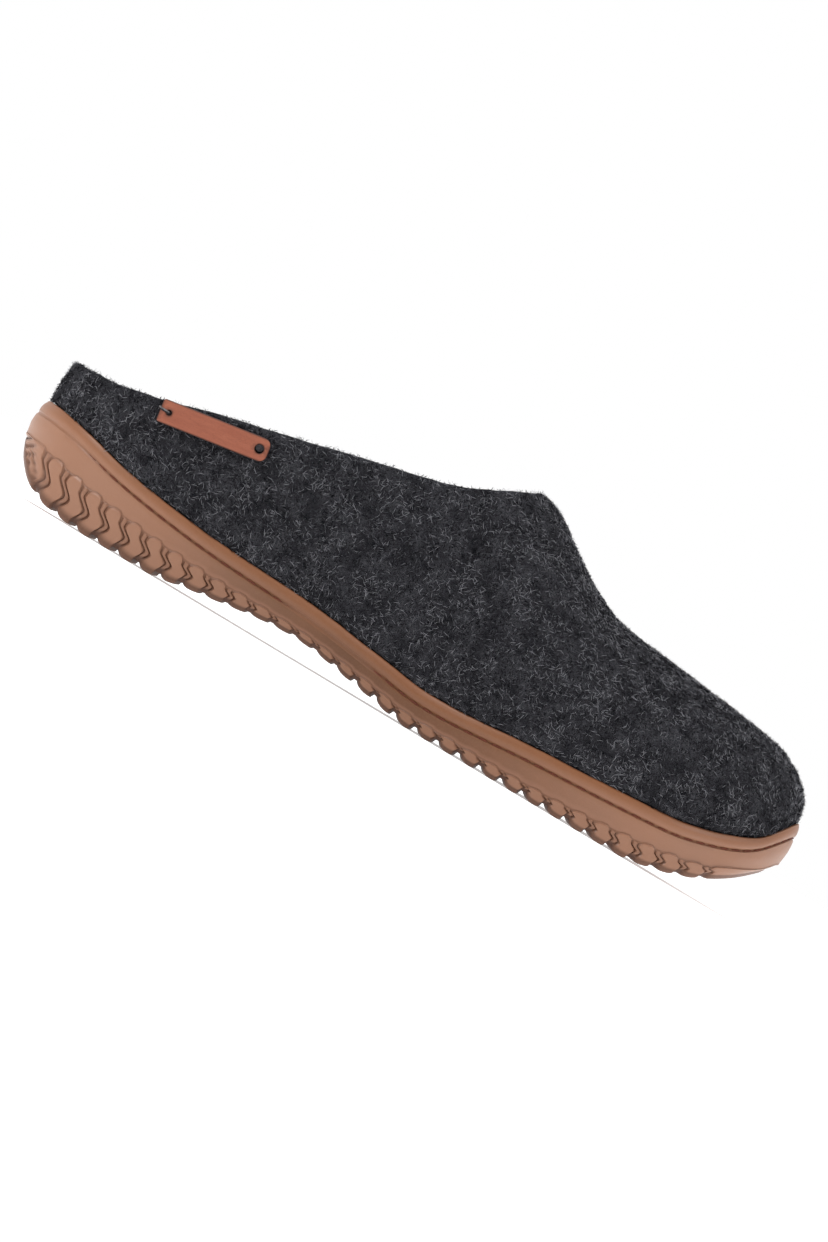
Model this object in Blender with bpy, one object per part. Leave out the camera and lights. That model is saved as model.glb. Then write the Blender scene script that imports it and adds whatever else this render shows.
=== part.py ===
# Wool slipper for the right foot: a rubber cup sole, a seamless felt upper, a felt sock and a
# small leather tag. Metres, +Z up, toe towards +X, outer side towards -Y, floor at z = 0.
import bisect
import math
from collections import namedtuple

import bmesh
import bpy
from mathutils import Matrix, Vector

# The last
SOLE_LENGTH = 0.288
BALL_WIDTH = 0.104
RIM_HEIGHT = 0.032         # top of the sole at the back of the heel
INSTEP_HEIGHT = 0.0907     # top of the throat
HEEL_COLLAR = 0.050        # top of the heel cup
HEEL_CAP = 0.029           # how far the ribs of the upper lean in at the heel
TOE_CAP = 0.038            # and at the toe

# Sole
RIM_WALL = 0.0030
LUG_PROUD = 0.0010         # the lug band stands out from the wall above it
TREAD_DEPTH = 0.0020
SOLE_EDGE = 0.0012         # rounding of the lower edge, upwards
SOLE_EDGE_IN = 0.0020      # and inwards
GROOVE_DROP = 0.0050       # sewing groove below the rim
GROOVE_DEPTH = 0.0008
GROOVE_HEIGHT = 0.0014
BEAD = 0.0004              # swell of the rim above the groove
RIM_ROUND = 0.0008

# Tread
GAPS = 32                  # between the lugs, evenly spread
LUG_GAP = 0.0027
GAP_DEPTH = 0.00085        # of the gaps on the side, a little less than the lugs stand out
FIRST_GAP = 0.0104         # middle of the first gap, from the back of the heel
LAST_GAP = 0.0203          # middle of the last gap, from the tip of the toe
WAVES = 5                  # turns of a gap's wave across the sole
WAVE_DEPTH = 0.0030
CHEVRON_LEAN = 0.30        # on the side the gaps lean to the toe, as shares of the lug's height
CHEVRON_FOOT = 0.20
CHEVRON_HEIGHT = 0.28
BACK_RIB_PITCH = 0.0021
BACK_RIB_HEIGHT = 0.0013
BACK_RIB_TOP = 0.0192
BACK_RIBS = 5
PAST = 0.0020              # how far the cutters reach past the rubber

# Felt
FELT_WALL = 0.0045
FELT_INSET = 0.0010        # felt above the rim, in from the sole's widest line
FELT_STEP = 0.0010         # height at which it swells out over the rim
SOCK_THICKNESS = 0.0040
CLEARANCE = 0.0003

# Tag
TAG_LENGTH = 0.0385
TAG_WIDTH = 0.0080
TAG_THICKNESS = 0.0016
TAG_FROM_HEEL = 0.0345
TAG_DROP = 0.0072          # middle of the tag below the collar
TAG_TILT = math.radians(9.1)
TAG_CORNER = 0.0028        # at the front end
TAG_CORNER_BACK = 0.0006   # at the back end
FRONT_HOLE = 0.0030
BACK_HOLE = 0.0018
HOLE_MARGIN = 0.0032       # from the tag's ends to the middles of its holes

# Fineness of the faceted surfaces
RIBS = 72                  # points round the outline
DOME_STEPS = 10
TAG_COLUMNS = 7
TAG_ROWS = 2
CORNER_STEPS = 3
HOLE_SIDES = 10
SMOOTH_BELOW = math.radians(40)

# The outline from above. Middle and fullness are shares of the ball width. The half width is the
# fullness times the half circle over the length, so both ends are round.
Plan = namedtuple("Plan", "along middle fullness")
PLAN = [
    Plan(0.000, 0.000, 0.673),
    Plan(0.035, 0.000, 0.633),
    Plan(0.104, 0.000, 0.535),
    Plan(0.208, -0.005, 0.432),
    Plan(0.382, -0.048, 0.336),
    Plan(0.521, -0.062, 0.380),
    Plan(0.625, -0.043, 0.472),
    Plan(0.712, -0.017, 0.549),
    Plan(0.799, 0.004, 0.612),
    Plan(0.885, 0.026, 0.676),
    Plan(0.955, 0.058, 0.722),
    Plan(1.000, 0.076, 0.750),
]

# The sole from the side. Heights are shares of the rim height at the heel.
Side = namedtuple("Side", "along bottom lug_top rim floor")
SIDE = [
    Side(0.000, 0.530, 0.606, 1.012, 0.562),
    Side(0.012, 0.350, 0.590, 1.006, 0.537),
    Side(0.036, 0.150, 0.560, 0.981, 0.497),
    Side(0.062, 0.056, 0.509, 0.934, 0.475),
    Side(0.122, 0.000, 0.422, 0.809, 0.450),
    Side(0.201, 0.000, 0.350, 0.706, 0.425),
    Side(0.260, 0.081, 0.322, 0.656, 0.416),
    Side(0.385, 0.209, 0.303, 0.600, 0.388),
    Side(0.486, 0.091, 0.209, 0.494, 0.312),
    Side(0.556, 0.000, 0.134, 0.425, 0.256),
    Side(0.694, 0.000, 0.144, 0.516, 0.238),
    Side(0.833, 0.000, 0.231, 0.600, 0.259),
    Side(0.875, 0.062, 0.278, 0.637, 0.306),
    Side(0.917, 0.178, 0.350, 0.725, 0.400),
    Side(0.958, 0.375, 0.500, 0.869, 0.581),
    Side(0.986, 0.572, 0.634, 1.056, 0.750),
    Side(1.000, 0.680, 0.762, 1.162, 0.860),
]

# The ridge of the last: its height as a share of the instep height, its place sideways as a share
# of the ball width, and the power of the rounded section below it. Behind the throat it is the
# leg, which the collar cuts away.
Ridge = namedtuple("Ridge", "along top sideways power")
RIDGE = [
    Ridge(0.000, 1.200, 0.000, 2.10),
    Ridge(0.100, 1.270, 0.000, 2.10),
    Ridge(0.208, 1.360, -0.002, 2.20),
    Ridge(0.347, 1.330, -0.005, 2.20),
    Ridge(0.424, 1.265, -0.004, 2.25),
    Ridge(0.486, 1.145, -0.004, 2.25),
    Ridge(0.521, 1.060, -0.002, 2.25),
    Ridge(0.546, 0.997, 0.000, 2.25),
    Ridge(0.573, 0.967, 0.003, 2.25),
    Ridge(0.618, 0.871, 0.008, 2.30),
    Ridge(0.663, 0.782, 0.014, 2.30),
    Ridge(0.708, 0.728, 0.020, 2.30),
    Ridge(0.757, 0.709, 0.027, 2.30),
    Ridge(0.823, 0.686, 0.037, 2.25),
    Ridge(0.868, 0.667, 0.045, 2.20),
]

# The collar from the side, from the heel's height to the throat's.
Collar = namedtuple("Collar", "along rise")
COLLAR = [
    Collar(0.000, 0.000),
    Collar(0.060, 0.006),
    Collar(0.090, 0.040),
    Collar(0.130, 0.103),
    Collar(0.176, 0.199),
    Collar(0.247, 0.322),
    Collar(0.337, 0.489),
    Collar(0.431, 0.656),
    Collar(0.476, 0.752),
    Collar(0.500, 0.826),
    Collar(0.524, 0.914),
    Collar(0.546, 1.000),
]
COLLAR_STEPS = 22

Finish = namedtuple("Finish", "name color roughness")
RUBBER = Finish("gum_rubber", (0.356, 0.171, 0.098, 1.0), 0.55)
FELT = Finish("wool_felt", (0.033, 0.032, 0.038, 1.0), 0.95)
SOCK_FELT = Finish("sock_felt", (0.055, 0.054, 0.060, 1.0), 0.95)
LEATHER = Finish("tan_leather", (0.262, 0.092, 0.052, 1.0), 0.60)


def value_at(rows, column, along):
    """One column of a table at a share of the length, eased between its rows, no overshoot."""
    places = [row.along for row in rows]
    values = [getattr(row, column) for row in rows]
    along = min(max(along, places[0]), places[-1])
    steps = [b - a for a, b in zip(places, places[1:])]
    slopes = [(b - a) / step for a, b, step in zip(values, values[1:], steps)]

    def tangent(i):
        if i == 0:
            return slopes[0]
        if i == len(slopes):
            return slopes[-1]
        before, after = slopes[i - 1], slopes[i]
        if before * after <= 0:
            return 0.0
        weight = (steps[i - 1] + 2 * steps[i]) / (3 * (steps[i - 1] + steps[i]))
        return before * after / (weight * after + (1 - weight) * before)

    i = min(max(bisect.bisect_right(places, along) - 1, 0), len(slopes) - 1)
    t = (along - places[i]) / steps[i]
    return (
        (2 * t**3 - 3 * t**2 + 1) * values[i]
        + (t**3 - 2 * t**2 + t) * steps[i] * tangent(i)
        + (3 * t**2 - 2 * t**3) * values[i + 1]
        + (t**3 - t**2) * steps[i] * tangent(i + 1)
    )


def share(x):
    """Share of the length at a place along the shoe."""
    return x / SOLE_LENGTH + 0.5


def side_height(column, x):
    return RIM_HEIGHT * value_at(SIDE, column, share(x))


def outline_raw(turn):
    """The sole's widest line: turn runs from the heel along the outer side to the toe and back."""
    along = (1 - math.cos(turn)) / 2
    middle = value_at(PLAN, "middle", along)
    half = value_at(PLAN, "fullness", along) * math.sin(turn)
    return Vector(((along - 0.5) * SOLE_LENGTH, (middle - half) * BALL_WIDTH))


TURNS = [2 * math.pi * k / RIBS for k in range(RIBS)]
WIDEST = [outline_raw(turn).y for turn in TURNS]
AXIS = (max(WIDEST) + min(WIDEST)) / 2


def outline(turn, inset):
    """A point of the outline, moved in square to it and centred on the shoe's box."""
    small = 0.01
    tangent = (outline_raw(turn + small) - outline_raw(turn - small)).normalized()
    point = outline_raw(turn) + inset * Vector((-tangent.y, tangent.x))
    return Vector((point.x, point.y - AXIS))


def sole_ring(inset, column, lift):
    """A closed ring at one inset whose height follows a column of the side table."""
    ring = []
    for turn in TURNS:
        x, y = outline(turn, inset)
        ring.append(Vector((x, y, side_height(column, x) + lift)))
    return ring


def gathered(along):
    """Where the rib that starts at this share of the length ends on the ridge."""
    heel_zone, toe_zone = 0.25, 0.40
    if along < heel_zone:
        return along + HEEL_CAP / SOLE_LENGTH * (1 - along / heel_zone) ** 2
    if along > 1 - toe_zone:
        return along - TOE_CAP / SOLE_LENGTH * ((along - 1 + toe_zone) / toe_zone) ** 2
    return along


def felt_point(turn, lift, skin):
    """The last's surface, from the rim (lift 0) to the ridge (lift pi / 2), skin metres inside."""
    along = (1 - math.cos(turn)) / 2
    foot = outline(turn, FELT_INSET + skin)
    foot_height = RIM_HEIGHT * value_at(SIDE, "rim", along) + FELT_STEP
    top = gathered(along)
    ridge_x = (top - 0.5) * SOLE_LENGTH
    ridge_y = BALL_WIDTH * value_at(RIDGE, "sideways", top) - AXIS
    ridge_z = INSTEP_HEIGHT * value_at(RIDGE, "top", top) - skin
    power = 2 / value_at(RIDGE, "power", top)
    inward = 1 - max(math.cos(lift), 0.0) ** power
    upward = math.sin(lift) ** power
    return Vector((
        foot.x + (ridge_x - foot.x) * inward,
        foot.y + (ridge_y - foot.y) * inward,
        foot_height + (ridge_z - foot_height) * upward,
    ))


def collar_height(along):
    rise = value_at(COLLAR, "rise", along)
    return HEEL_COLLAR + rise * (INSTEP_HEIGHT - HEEL_COLLAR)


def add_ring(bm, points):
    return [bm.verts.new(point) for point in points]


def bridge(bm, lower, upper):
    """Faces between two closed rings of as many points."""
    for k in range(len(lower)):
        after = (k + 1) % len(lower)
        bm.faces.new((lower[k], lower[after], upper[after], upper[k]))


def cap(bm, ring):
    """Closes a ring with strips across the shoe, from its outer side to its inner side."""
    count = len(ring)
    bm.faces.new((ring[0], ring[1], ring[-1]))
    for k in range(1, count // 2 - 1):
        bm.faces.new((ring[k], ring[k + 1], ring[count - k - 1], ring[count - k]))
    bm.faces.new((ring[count // 2 - 1], ring[count // 2], ring[count // 2 + 1]))


def finish_mesh(bm, name, collection):
    """Turns the faces outwards, splits what isn't flat, and puts the mesh in the collection."""
    bmesh.ops.recalc_face_normals(bm, faces=bm.faces)
    bmesh.ops.triangulate(bm, faces=bm.faces)
    mesh = bpy.data.meshes.new(name)
    bm.to_mesh(mesh)
    bm.free()
    piece = bpy.data.objects.new(name, mesh)
    collection.objects.link(piece)
    return piece


def lofted(name, rings, collection):
    """A solid through closed rings, capped at both ends."""
    bm = bmesh.new()
    loops = [add_ring(bm, ring) for ring in rings]
    for lower, upper in zip(loops, loops[1:]):
        bridge(bm, lower, upper)
    cap(bm, loops[0])
    cap(bm, loops[-1])
    return finish_mesh(bm, name, collection)


def prism(name, profile, depth, collection):
    """A closed profile in the XZ plane, extruded along Y from -depth to depth."""
    bm = bmesh.new()
    front = [bm.verts.new((x, -depth, z)) for x, z in profile]
    back = [bm.verts.new((x, depth, z)) for x, z in profile]
    bridge(bm, front, back)
    bm.faces.new(front)
    bm.faces.new(back)
    return finish_mesh(bm, name, collection)


def boolean(piece, operation, cutter):
    modifier = piece.modifiers.new(cutter.name, "BOOLEAN")
    modifier.operation = operation
    modifier.solver = "EXACT"
    modifier.object = cutter
    cutter.hide_render = True
    cutter.display_type = "WIRE"


def surface(piece, finish):
    material = bpy.data.materials.new(finish.name)
    material.use_nodes = True
    shader = material.node_tree.nodes["Principled BSDF"]
    shader.inputs["Base Color"].default_value = finish.color
    shader.inputs["Roughness"].default_value = finish.roughness
    shader.inputs["Metallic"].default_value = 0.0
    piece.data.materials.append(material)
    piece.data.shade_smooth()
    piece.data.set_sharp_from_angle(angle=SMOOTH_BELOW)


def sole_blank(collection):
    """The sole with a plain lug band: edge, band, wall, groove, rim and the hollow for the felt."""
    wall = LUG_PROUD
    half_groove = GROOVE_HEIGHT / 2
    rings = [
        sole_ring(SOLE_EDGE_IN, "bottom", 0.0),
        sole_ring(0.0, "bottom", SOLE_EDGE),
        sole_ring(0.0, "lug_top", 0.0),
        sole_ring(wall, "lug_top", LUG_PROUD / 4),
        sole_ring(wall, "rim", -GROOVE_DROP - half_groove),
        sole_ring(wall + GROOVE_DEPTH, "rim", -GROOVE_DROP),
        sole_ring(wall, "rim", -GROOVE_DROP + half_groove),
        sole_ring(wall - BEAD, "rim", -GROOVE_DROP / 2),
        sole_ring(wall - BEAD / 2, "rim", -RIM_ROUND),
        sole_ring(wall + RIM_ROUND, "rim", 0.0),
        sole_ring(RIM_WALL, "rim", 0.0),
        sole_ring(RIM_WALL, "floor", 0.0),
    ]
    return lofted("outsole", rings, collection)


def edge_point(x, inset, side):
    """How far sideways the outline lies at x: side -1 is the outer side, +1 the inner one."""
    low, high = 0.0, math.pi
    for _ in range(30):
        turn = (low + high) / 2
        if outline(turn if side < 0 else -turn, inset).x < x:
            low = turn
        else:
            high = turn
    return outline(turn if side < 0 else -turn, inset).y


def strap_section(bm, x, inner, outer):
    """Four corners of a gap's cutter. Inner and outer give y and z at a place along the shoe."""
    back, front = x - LUG_GAP / 2, x + LUG_GAP / 2
    corners = ((back, inner), (front, inner), (front, outer), (back, outer))
    return [bm.verts.new((place, *at(place))) for place, at in corners]


def side_sections(bm, middle, side):
    """The strap's sections down one side of the shoe, from above the lug band to the edge."""
    bottom, top = side_height("bottom", middle), side_height("lug_top", middle)
    height = top - bottom
    vertex = max(CHEVRON_HEIGHT * height, TREAD_DEPTH + LUG_PROUD / 2)
    sections = []
    for lean, lift in ((0.0, height + PAST / 2), (CHEVRON_LEAN * height, vertex)):
        sections.append(strap_section(
            bm, middle + lean,
            lambda x, lift=lift: (edge_point(x, GAP_DEPTH, side), side_height("bottom", middle) + lift),
            lambda x, lift=lift: (edge_point(x, -PAST, side), side_height("bottom", middle) + lift),
        ))
    sections.append(strap_section(
        bm, middle + CHEVRON_FOOT * height,
        lambda x: (edge_point(x, GAP_DEPTH, side), side_height("bottom", x) + TREAD_DEPTH),
        lambda x: (edge_point(x, -PAST, side), side_height("bottom", x) - PAST),
    ))
    return sections


def add_gap(bm, middle):
    """A strap down one side, in a wave across the tread and up the other side."""
    height = side_height("lug_top", middle) - side_height("bottom", middle)
    foot = middle + CHEVRON_FOOT * height
    y_outer, y_inner = edge_point(foot, GAP_DEPTH, -1), edge_point(foot, GAP_DEPTH, 1)
    sections = side_sections(bm, middle, -1)
    for k in range(1, WAVES + 1):
        bend = WAVE_DEPTH / 2 * (1 if k % 2 else -1)
        y = y_outer + (y_inner - y_outer) * k / (WAVES + 1)
        sections.append(strap_section(
            bm, foot + bend,
            lambda place, y=y: (y, side_height("bottom", place) + TREAD_DEPTH),
            lambda place, y=y: (y, side_height("bottom", place) - PAST),
        ))
    sections += side_sections(bm, middle, 1)[::-1]
    for one, other in zip(sections, sections[1:]):
        bridge(bm, one, other)
    bm.faces.new(sections[0])
    bm.faces.new(sections[-1])


def heel_slope(height):
    """Where the slope at the back of the heel has this height, from the back of the shoe."""
    low, high = 0.0, SOLE_LENGTH / 8
    for _ in range(30):
        middle = (low + high) / 2
        if side_height("bottom", middle - SOLE_LENGTH / 2) > height:
            low = middle
        else:
            high = middle
    return low


def add_box(bm, low, high):
    size = Vector(high) - Vector(low)
    place = Matrix.Translation((Vector(high) + Vector(low)) / 2) @ Matrix.Diagonal(size).to_4x4()
    bmesh.ops.create_cube(bm, size=1.0, matrix=place)


def tread_gaps(collection):
    """The slots between the lugs, and those between the ribs at the back of the heel."""
    bm = bmesh.new()
    heel = -SOLE_LENGTH / 2
    for k in range(BACK_RIBS):
        top = BACK_RIB_TOP - BACK_RIB_HEIGHT - k * BACK_RIB_PITCH
        bottom = top - BACK_RIB_PITCH + BACK_RIB_HEIGHT
        front = heel + heel_slope((top + bottom) / 2) + GAP_DEPTH
        add_box(bm, (heel - BALL_WIDTH, -BALL_WIDTH, bottom), (front, BALL_WIDTH, top))
    pitch = (SOLE_LENGTH - FIRST_GAP - LAST_GAP) / (GAPS - 1)
    for k in range(GAPS):
        add_gap(bm, heel + FIRST_GAP + k * pitch)
    return finish_mesh(bm, "tread_gaps", collection)


def build_outsole(parts, cutters):
    sole = sole_blank(parts)
    boolean(sole, "DIFFERENCE", tread_gaps(cutters))
    surface(sole, RUBBER)


def upper_rings(skin):
    """Rings of the outer (skin 0) or inner wall: the tuck inside the rim, then the dome."""
    tuck = RIM_WALL + CLEARANCE + skin
    shoulder = FELT_STEP if skin else 0.0
    rings = [
        sole_ring(tuck, "floor", CLEARANCE),
        sole_ring(tuck, "rim", CLEARANCE - shoulder),
    ]
    for step in range(DOME_STEPS):
        lift = math.pi / 2 * step / DOME_STEPS
        rings.append([felt_point(turn, lift, skin) for turn in TURNS])
    return rings


def add_wall(bm, skin):
    """One side of the upper's wall, closed along the ridge. Returns its lowest ring."""
    loops = [add_ring(bm, ring) for ring in upper_rings(skin)]
    for lower, upper in zip(loops, loops[1:]):
        bridge(bm, lower, upper)
    half = RIBS // 2
    ridge = add_ring(bm, [felt_point(turn, math.pi / 2, skin) for turn in TURNS[:half + 1]])
    last = loops[-1]
    for k in range(RIBS):
        after = (k + 1) % RIBS
        here, there = min(k, RIBS - k), min(after, RIBS - after)
        bm.faces.new((last[k], last[after], ridge[there], ridge[here]))
    return loops[0]


def collar_cutter(collection):
    """Everything above the collar's line, across the whole shoe."""
    behind = -SOLE_LENGTH / 2 - BALL_WIDTH / 4
    above = INSTEP_HEIGHT * 2
    throat = COLLAR[-1].along
    profile = [(behind, above), (behind, collar_height(0.0))]
    for step in range(COLLAR_STEPS + 1):
        along = throat * step / COLLAR_STEPS
        profile.append(((along - 0.5) * SOLE_LENGTH, collar_height(along)))
    profile.append((profile[-1][0], above))
    return prism("collar_cutter", profile, BALL_WIDTH, collection)


def build_upper(parts, cutters):
    bm = bmesh.new()
    outer = add_wall(bm, 0.0)
    inner = add_wall(bm, FELT_WALL)
    bridge(bm, outer, inner)
    upper = finish_mesh(bm, "upper", parts)
    boolean(upper, "DIFFERENCE", collar_cutter(cutters))
    surface(upper, FELT)


def build_insole(parts):
    inset = RIM_WALL + FELT_WALL + 2 * CLEARANCE
    rings = [
        sole_ring(inset, "floor", CLEARANCE),
        sole_ring(inset, "floor", CLEARANCE + SOCK_THICKNESS),
    ]
    surface(lofted("insole", rings, parts), SOCK_FELT)


def tag_profile():
    """The tag's outline from the side: a strip with rounded corners, along and across."""
    half_length, half_width = TAG_LENGTH / 2, TAG_WIDTH / 2
    corners = [
        (half_length, half_width, TAG_CORNER, 0),
        (-half_length, half_width, TAG_CORNER_BACK, 90),
        (-half_length, -half_width, TAG_CORNER_BACK, 180),
        (half_length, -half_width, TAG_CORNER, 270),
    ]
    profile = []
    for x, z, radius, start in corners:
        centre_x = x - math.copysign(radius, x)
        centre_z = z - math.copysign(radius, z)
        for step in range(CORNER_STEPS + 1):
            angle = math.radians(start + 90 * step / CORNER_STEPS)
            profile.append((centre_x + radius * math.cos(angle), centre_z + radius * math.sin(angle)))
    return profile


def tag_place():
    """Middle of the tag from the side, tied to the collar above it."""
    x = -SOLE_LENGTH / 2 + TAG_FROM_HEEL + TAG_LENGTH / 2
    return Vector((x, collar_height(share(x)) - TAG_DROP))


def tag_to_side(along, across):
    """From the tag's own length and width to x and z on the shoe."""
    middle = tag_place()
    return (
        middle.x + along * math.cos(TAG_TILT) - across * math.sin(TAG_TILT),
        middle.y + along * math.sin(TAG_TILT) + across * math.cos(TAG_TILT),
    )


def lift_at(turn, height, skin):
    """The lift at which a rib of the last reaches a height."""
    low, high = 0.0, math.pi / 2
    for _ in range(40):
        middle = (low + high) / 2
        if felt_point(turn, middle, skin).z < height:
            low = middle
        else:
            high = middle
    return low


def tag_blank(collection):
    """A piece of skin on the last's outer side, wider than the tag and as thick."""
    middle = tag_place()
    margin = TAG_WIDTH
    from_along = share(middle.x - TAG_LENGTH / 2 - margin)
    to_along = share(middle.x + TAG_LENGTH / 2 + margin)
    drop = TAG_WIDTH + TAG_LENGTH * math.sin(TAG_TILT) / 2
    bm = bmesh.new()
    layers = []
    for skin in (-CLEARANCE, -CLEARANCE - TAG_THICKNESS):
        rows = []
        for row in range(TAG_ROWS + 1):
            height = middle.y + drop * (2 * row / TAG_ROWS - 1)
            points = []
            for column in range(TAG_COLUMNS + 1):
                along = from_along + (to_along - from_along) * column / TAG_COLUMNS
                turn = math.acos(1 - 2 * along)
                points.append(felt_point(turn, lift_at(turn, height, skin), skin))
            rows.append(add_ring(bm, points))
        for lower, upper in zip(rows, rows[1:]):
            for k in range(TAG_COLUMNS):
                bm.faces.new((lower[k], lower[k + 1], upper[k + 1], upper[k]))
        left, right = [row[0] for row in rows], [row[-1] for row in rows]
        layers.append(rows[0] + right[1:-1] + rows[-1][::-1] + left[-2:0:-1])
    bridge(bm, *layers)
    return finish_mesh(bm, "tag", collection)


def build_tag(parts, cutters):
    tag = tag_blank(parts)
    outline_points = [tag_to_side(along, across) for along, across in tag_profile()]
    boolean(tag, "INTERSECT", prism("tag_outline", outline_points, BALL_WIDTH, cutters))
    for name, end, diameter in (("front_hole", 1, FRONT_HOLE), ("back_hole", -1, BACK_HOLE)):
        x, z = tag_to_side(end * (TAG_LENGTH / 2 - HOLE_MARGIN), 0.0)
        bm = bmesh.new()
        place = Matrix.Translation((x, 0.0, z)) @ Matrix.Rotation(math.pi / 2, 4, "X")
        bmesh.ops.create_cone(
            bm, cap_ends=True, segments=HOLE_SIDES, radius1=diameter / 2, radius2=diameter / 2,
            depth=2 * BALL_WIDTH, matrix=place,
        )
        boolean(tag, "DIFFERENCE", finish_mesh(bm, name, cutters))
    surface(tag, LEATHER)


def main():
    for item in list(bpy.data.objects):
        bpy.data.objects.remove(item, do_unlink=True)
    parts = bpy.data.collections.new("wool_slipper")
    cutters = bpy.data.collections.new("cutters")
    bpy.context.scene.collection.children.link(parts)
    bpy.context.scene.collection.children.link(cutters)
    build_outsole(parts, cutters)
    build_upper(parts, cutters)
    build_insole(parts)
    build_tag(parts, cutters)


main()
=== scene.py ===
import math

import bmesh
import bpy
import numpy as np
from mathutils import Matrix, Vector, noise


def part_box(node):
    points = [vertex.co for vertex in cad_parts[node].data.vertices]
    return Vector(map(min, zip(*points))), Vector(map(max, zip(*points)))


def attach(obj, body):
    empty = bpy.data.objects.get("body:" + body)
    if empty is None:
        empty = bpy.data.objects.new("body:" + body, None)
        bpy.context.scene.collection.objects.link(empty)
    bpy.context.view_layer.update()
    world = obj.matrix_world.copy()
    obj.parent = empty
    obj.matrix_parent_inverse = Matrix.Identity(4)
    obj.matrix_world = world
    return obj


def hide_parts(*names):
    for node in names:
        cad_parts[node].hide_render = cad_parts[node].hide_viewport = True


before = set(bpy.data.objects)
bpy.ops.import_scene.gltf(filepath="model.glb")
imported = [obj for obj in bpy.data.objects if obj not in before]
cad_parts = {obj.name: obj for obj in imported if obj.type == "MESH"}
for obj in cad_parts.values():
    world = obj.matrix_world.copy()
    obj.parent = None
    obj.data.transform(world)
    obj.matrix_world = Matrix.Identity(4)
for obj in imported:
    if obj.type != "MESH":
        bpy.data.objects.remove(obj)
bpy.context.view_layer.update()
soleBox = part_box("outsole")
print("frame loaded")

mm = 0.001


# The form: the same tables and functions as the model's, here for whole arrays of points

last = {
    "length": soleBox[1].x - soleBox[0].x,
    "ballWidth": 0.104,
    "rimHeight": 0.032,        # top of the sole at the back of the heel
    "instepHeight": 0.0907,    # top of the throat
    "heelCollar": 0.050,
    "heelCap": 0.029,          # how far the upper's ribs lean in at the heel
    "toeCap": 0.038,
    "heelZone": 0.25,          # shares of the length over which they lean
    "toeZone": 0.40,
    "throat": 0.546,
    # along, middle and fullness as shares of the ball width
    "plan": [
        (0.000, 0.000, 0.673), (0.035, 0.000, 0.633), (0.104, 0.000, 0.535), (0.208, -0.005, 0.432),
        (0.382, -0.048, 0.336), (0.521, -0.062, 0.380), (0.625, -0.043, 0.472), (0.712, -0.017, 0.549),
        (0.799, 0.004, 0.612), (0.885, 0.026, 0.676), (0.955, 0.058, 0.722), (1.000, 0.076, 0.750),
    ],
    # along, bottom, lug top, rim and floor of the cup as shares of the rim height
    "side": [
        (0.000, 0.530, 0.606, 1.012, 0.562), (0.012, 0.350, 0.590, 1.006, 0.537),
        (0.036, 0.150, 0.560, 0.981, 0.497), (0.062, 0.056, 0.509, 0.934, 0.475),
        (0.122, 0.000, 0.422, 0.809, 0.450), (0.201, 0.000, 0.350, 0.706, 0.425),
        (0.260, 0.081, 0.322, 0.656, 0.416), (0.385, 0.209, 0.303, 0.600, 0.388),
        (0.486, 0.091, 0.209, 0.494, 0.312), (0.556, 0.000, 0.134, 0.425, 0.256),
        (0.694, 0.000, 0.144, 0.516, 0.238), (0.833, 0.000, 0.231, 0.600, 0.259),
        (0.875, 0.062, 0.278, 0.637, 0.306), (0.917, 0.178, 0.350, 0.725, 0.400),
        (0.958, 0.375, 0.500, 0.869, 0.581), (0.986, 0.572, 0.634, 1.056, 0.750),
        (1.000, 0.680, 0.762, 1.162, 0.860),
    ],
    # along, top as a share of the instep height, sideways of the ball width, power of the section
    "ridge": [
        (0.000, 1.200, 0.000, 2.10), (0.100, 1.270, 0.000, 2.10), (0.208, 1.360, -0.002, 2.20),
        (0.347, 1.330, -0.005, 2.20), (0.424, 1.265, -0.004, 2.25), (0.486, 1.145, -0.004, 2.25),
        (0.521, 1.060, -0.002, 2.25), (0.546, 0.997, 0.000, 2.25), (0.573, 0.967, 0.003, 2.25),
        (0.618, 0.871, 0.008, 2.30), (0.663, 0.782, 0.014, 2.30), (0.708, 0.728, 0.020, 2.30),
        (0.757, 0.709, 0.027, 2.30), (0.823, 0.686, 0.037, 2.25), (0.868, 0.667, 0.045, 2.20),
    ],
    # along, rise from the heel's collar to the throat
    "collar": [
        (0.000, 0.000), (0.060, 0.006), (0.090, 0.040), (0.130, 0.103), (0.176, 0.199), (0.247, 0.322),
        (0.337, 0.489), (0.431, 0.656), (0.476, 0.752), (0.500, 0.826), (0.524, 0.914), (0.546, 1.000),
    ],
}


def easedColumn(rows, column):
    # one column of a table as a function of the share along, eased, with no overshoot
    places = np.array([row[0] for row in rows])
    values = np.array([row[column] for row in rows])
    steps = np.diff(places)
    slopes = np.diff(values) / steps
    tangents = np.concatenate(([slopes[0]], np.zeros(len(slopes) - 1), [slopes[-1]]))
    for i in range(1, len(slopes)):
        before, after = slopes[i - 1], slopes[i]
        if before * after > 0:
            weight = (steps[i - 1] + 2 * steps[i]) / (3 * (steps[i - 1] + steps[i]))
            tangents[i] = before * after / (weight * after + (1 - weight) * before)

    def at(along):
        along = np.clip(along, places[0], places[-1])
        i = np.clip(np.searchsorted(places, along, side="right") - 1, 0, len(steps) - 1)
        t = (along - places[i]) / steps[i]
        return (
            (2 * t**3 - 3 * t**2 + 1) * values[i]
            + (t**3 - 2 * t**2 + t) * steps[i] * tangents[i]
            + (3 * t**2 - 2 * t**3) * values[i + 1]
            + (t**3 - t**2) * steps[i] * tangents[i + 1]
        )

    return at


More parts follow.
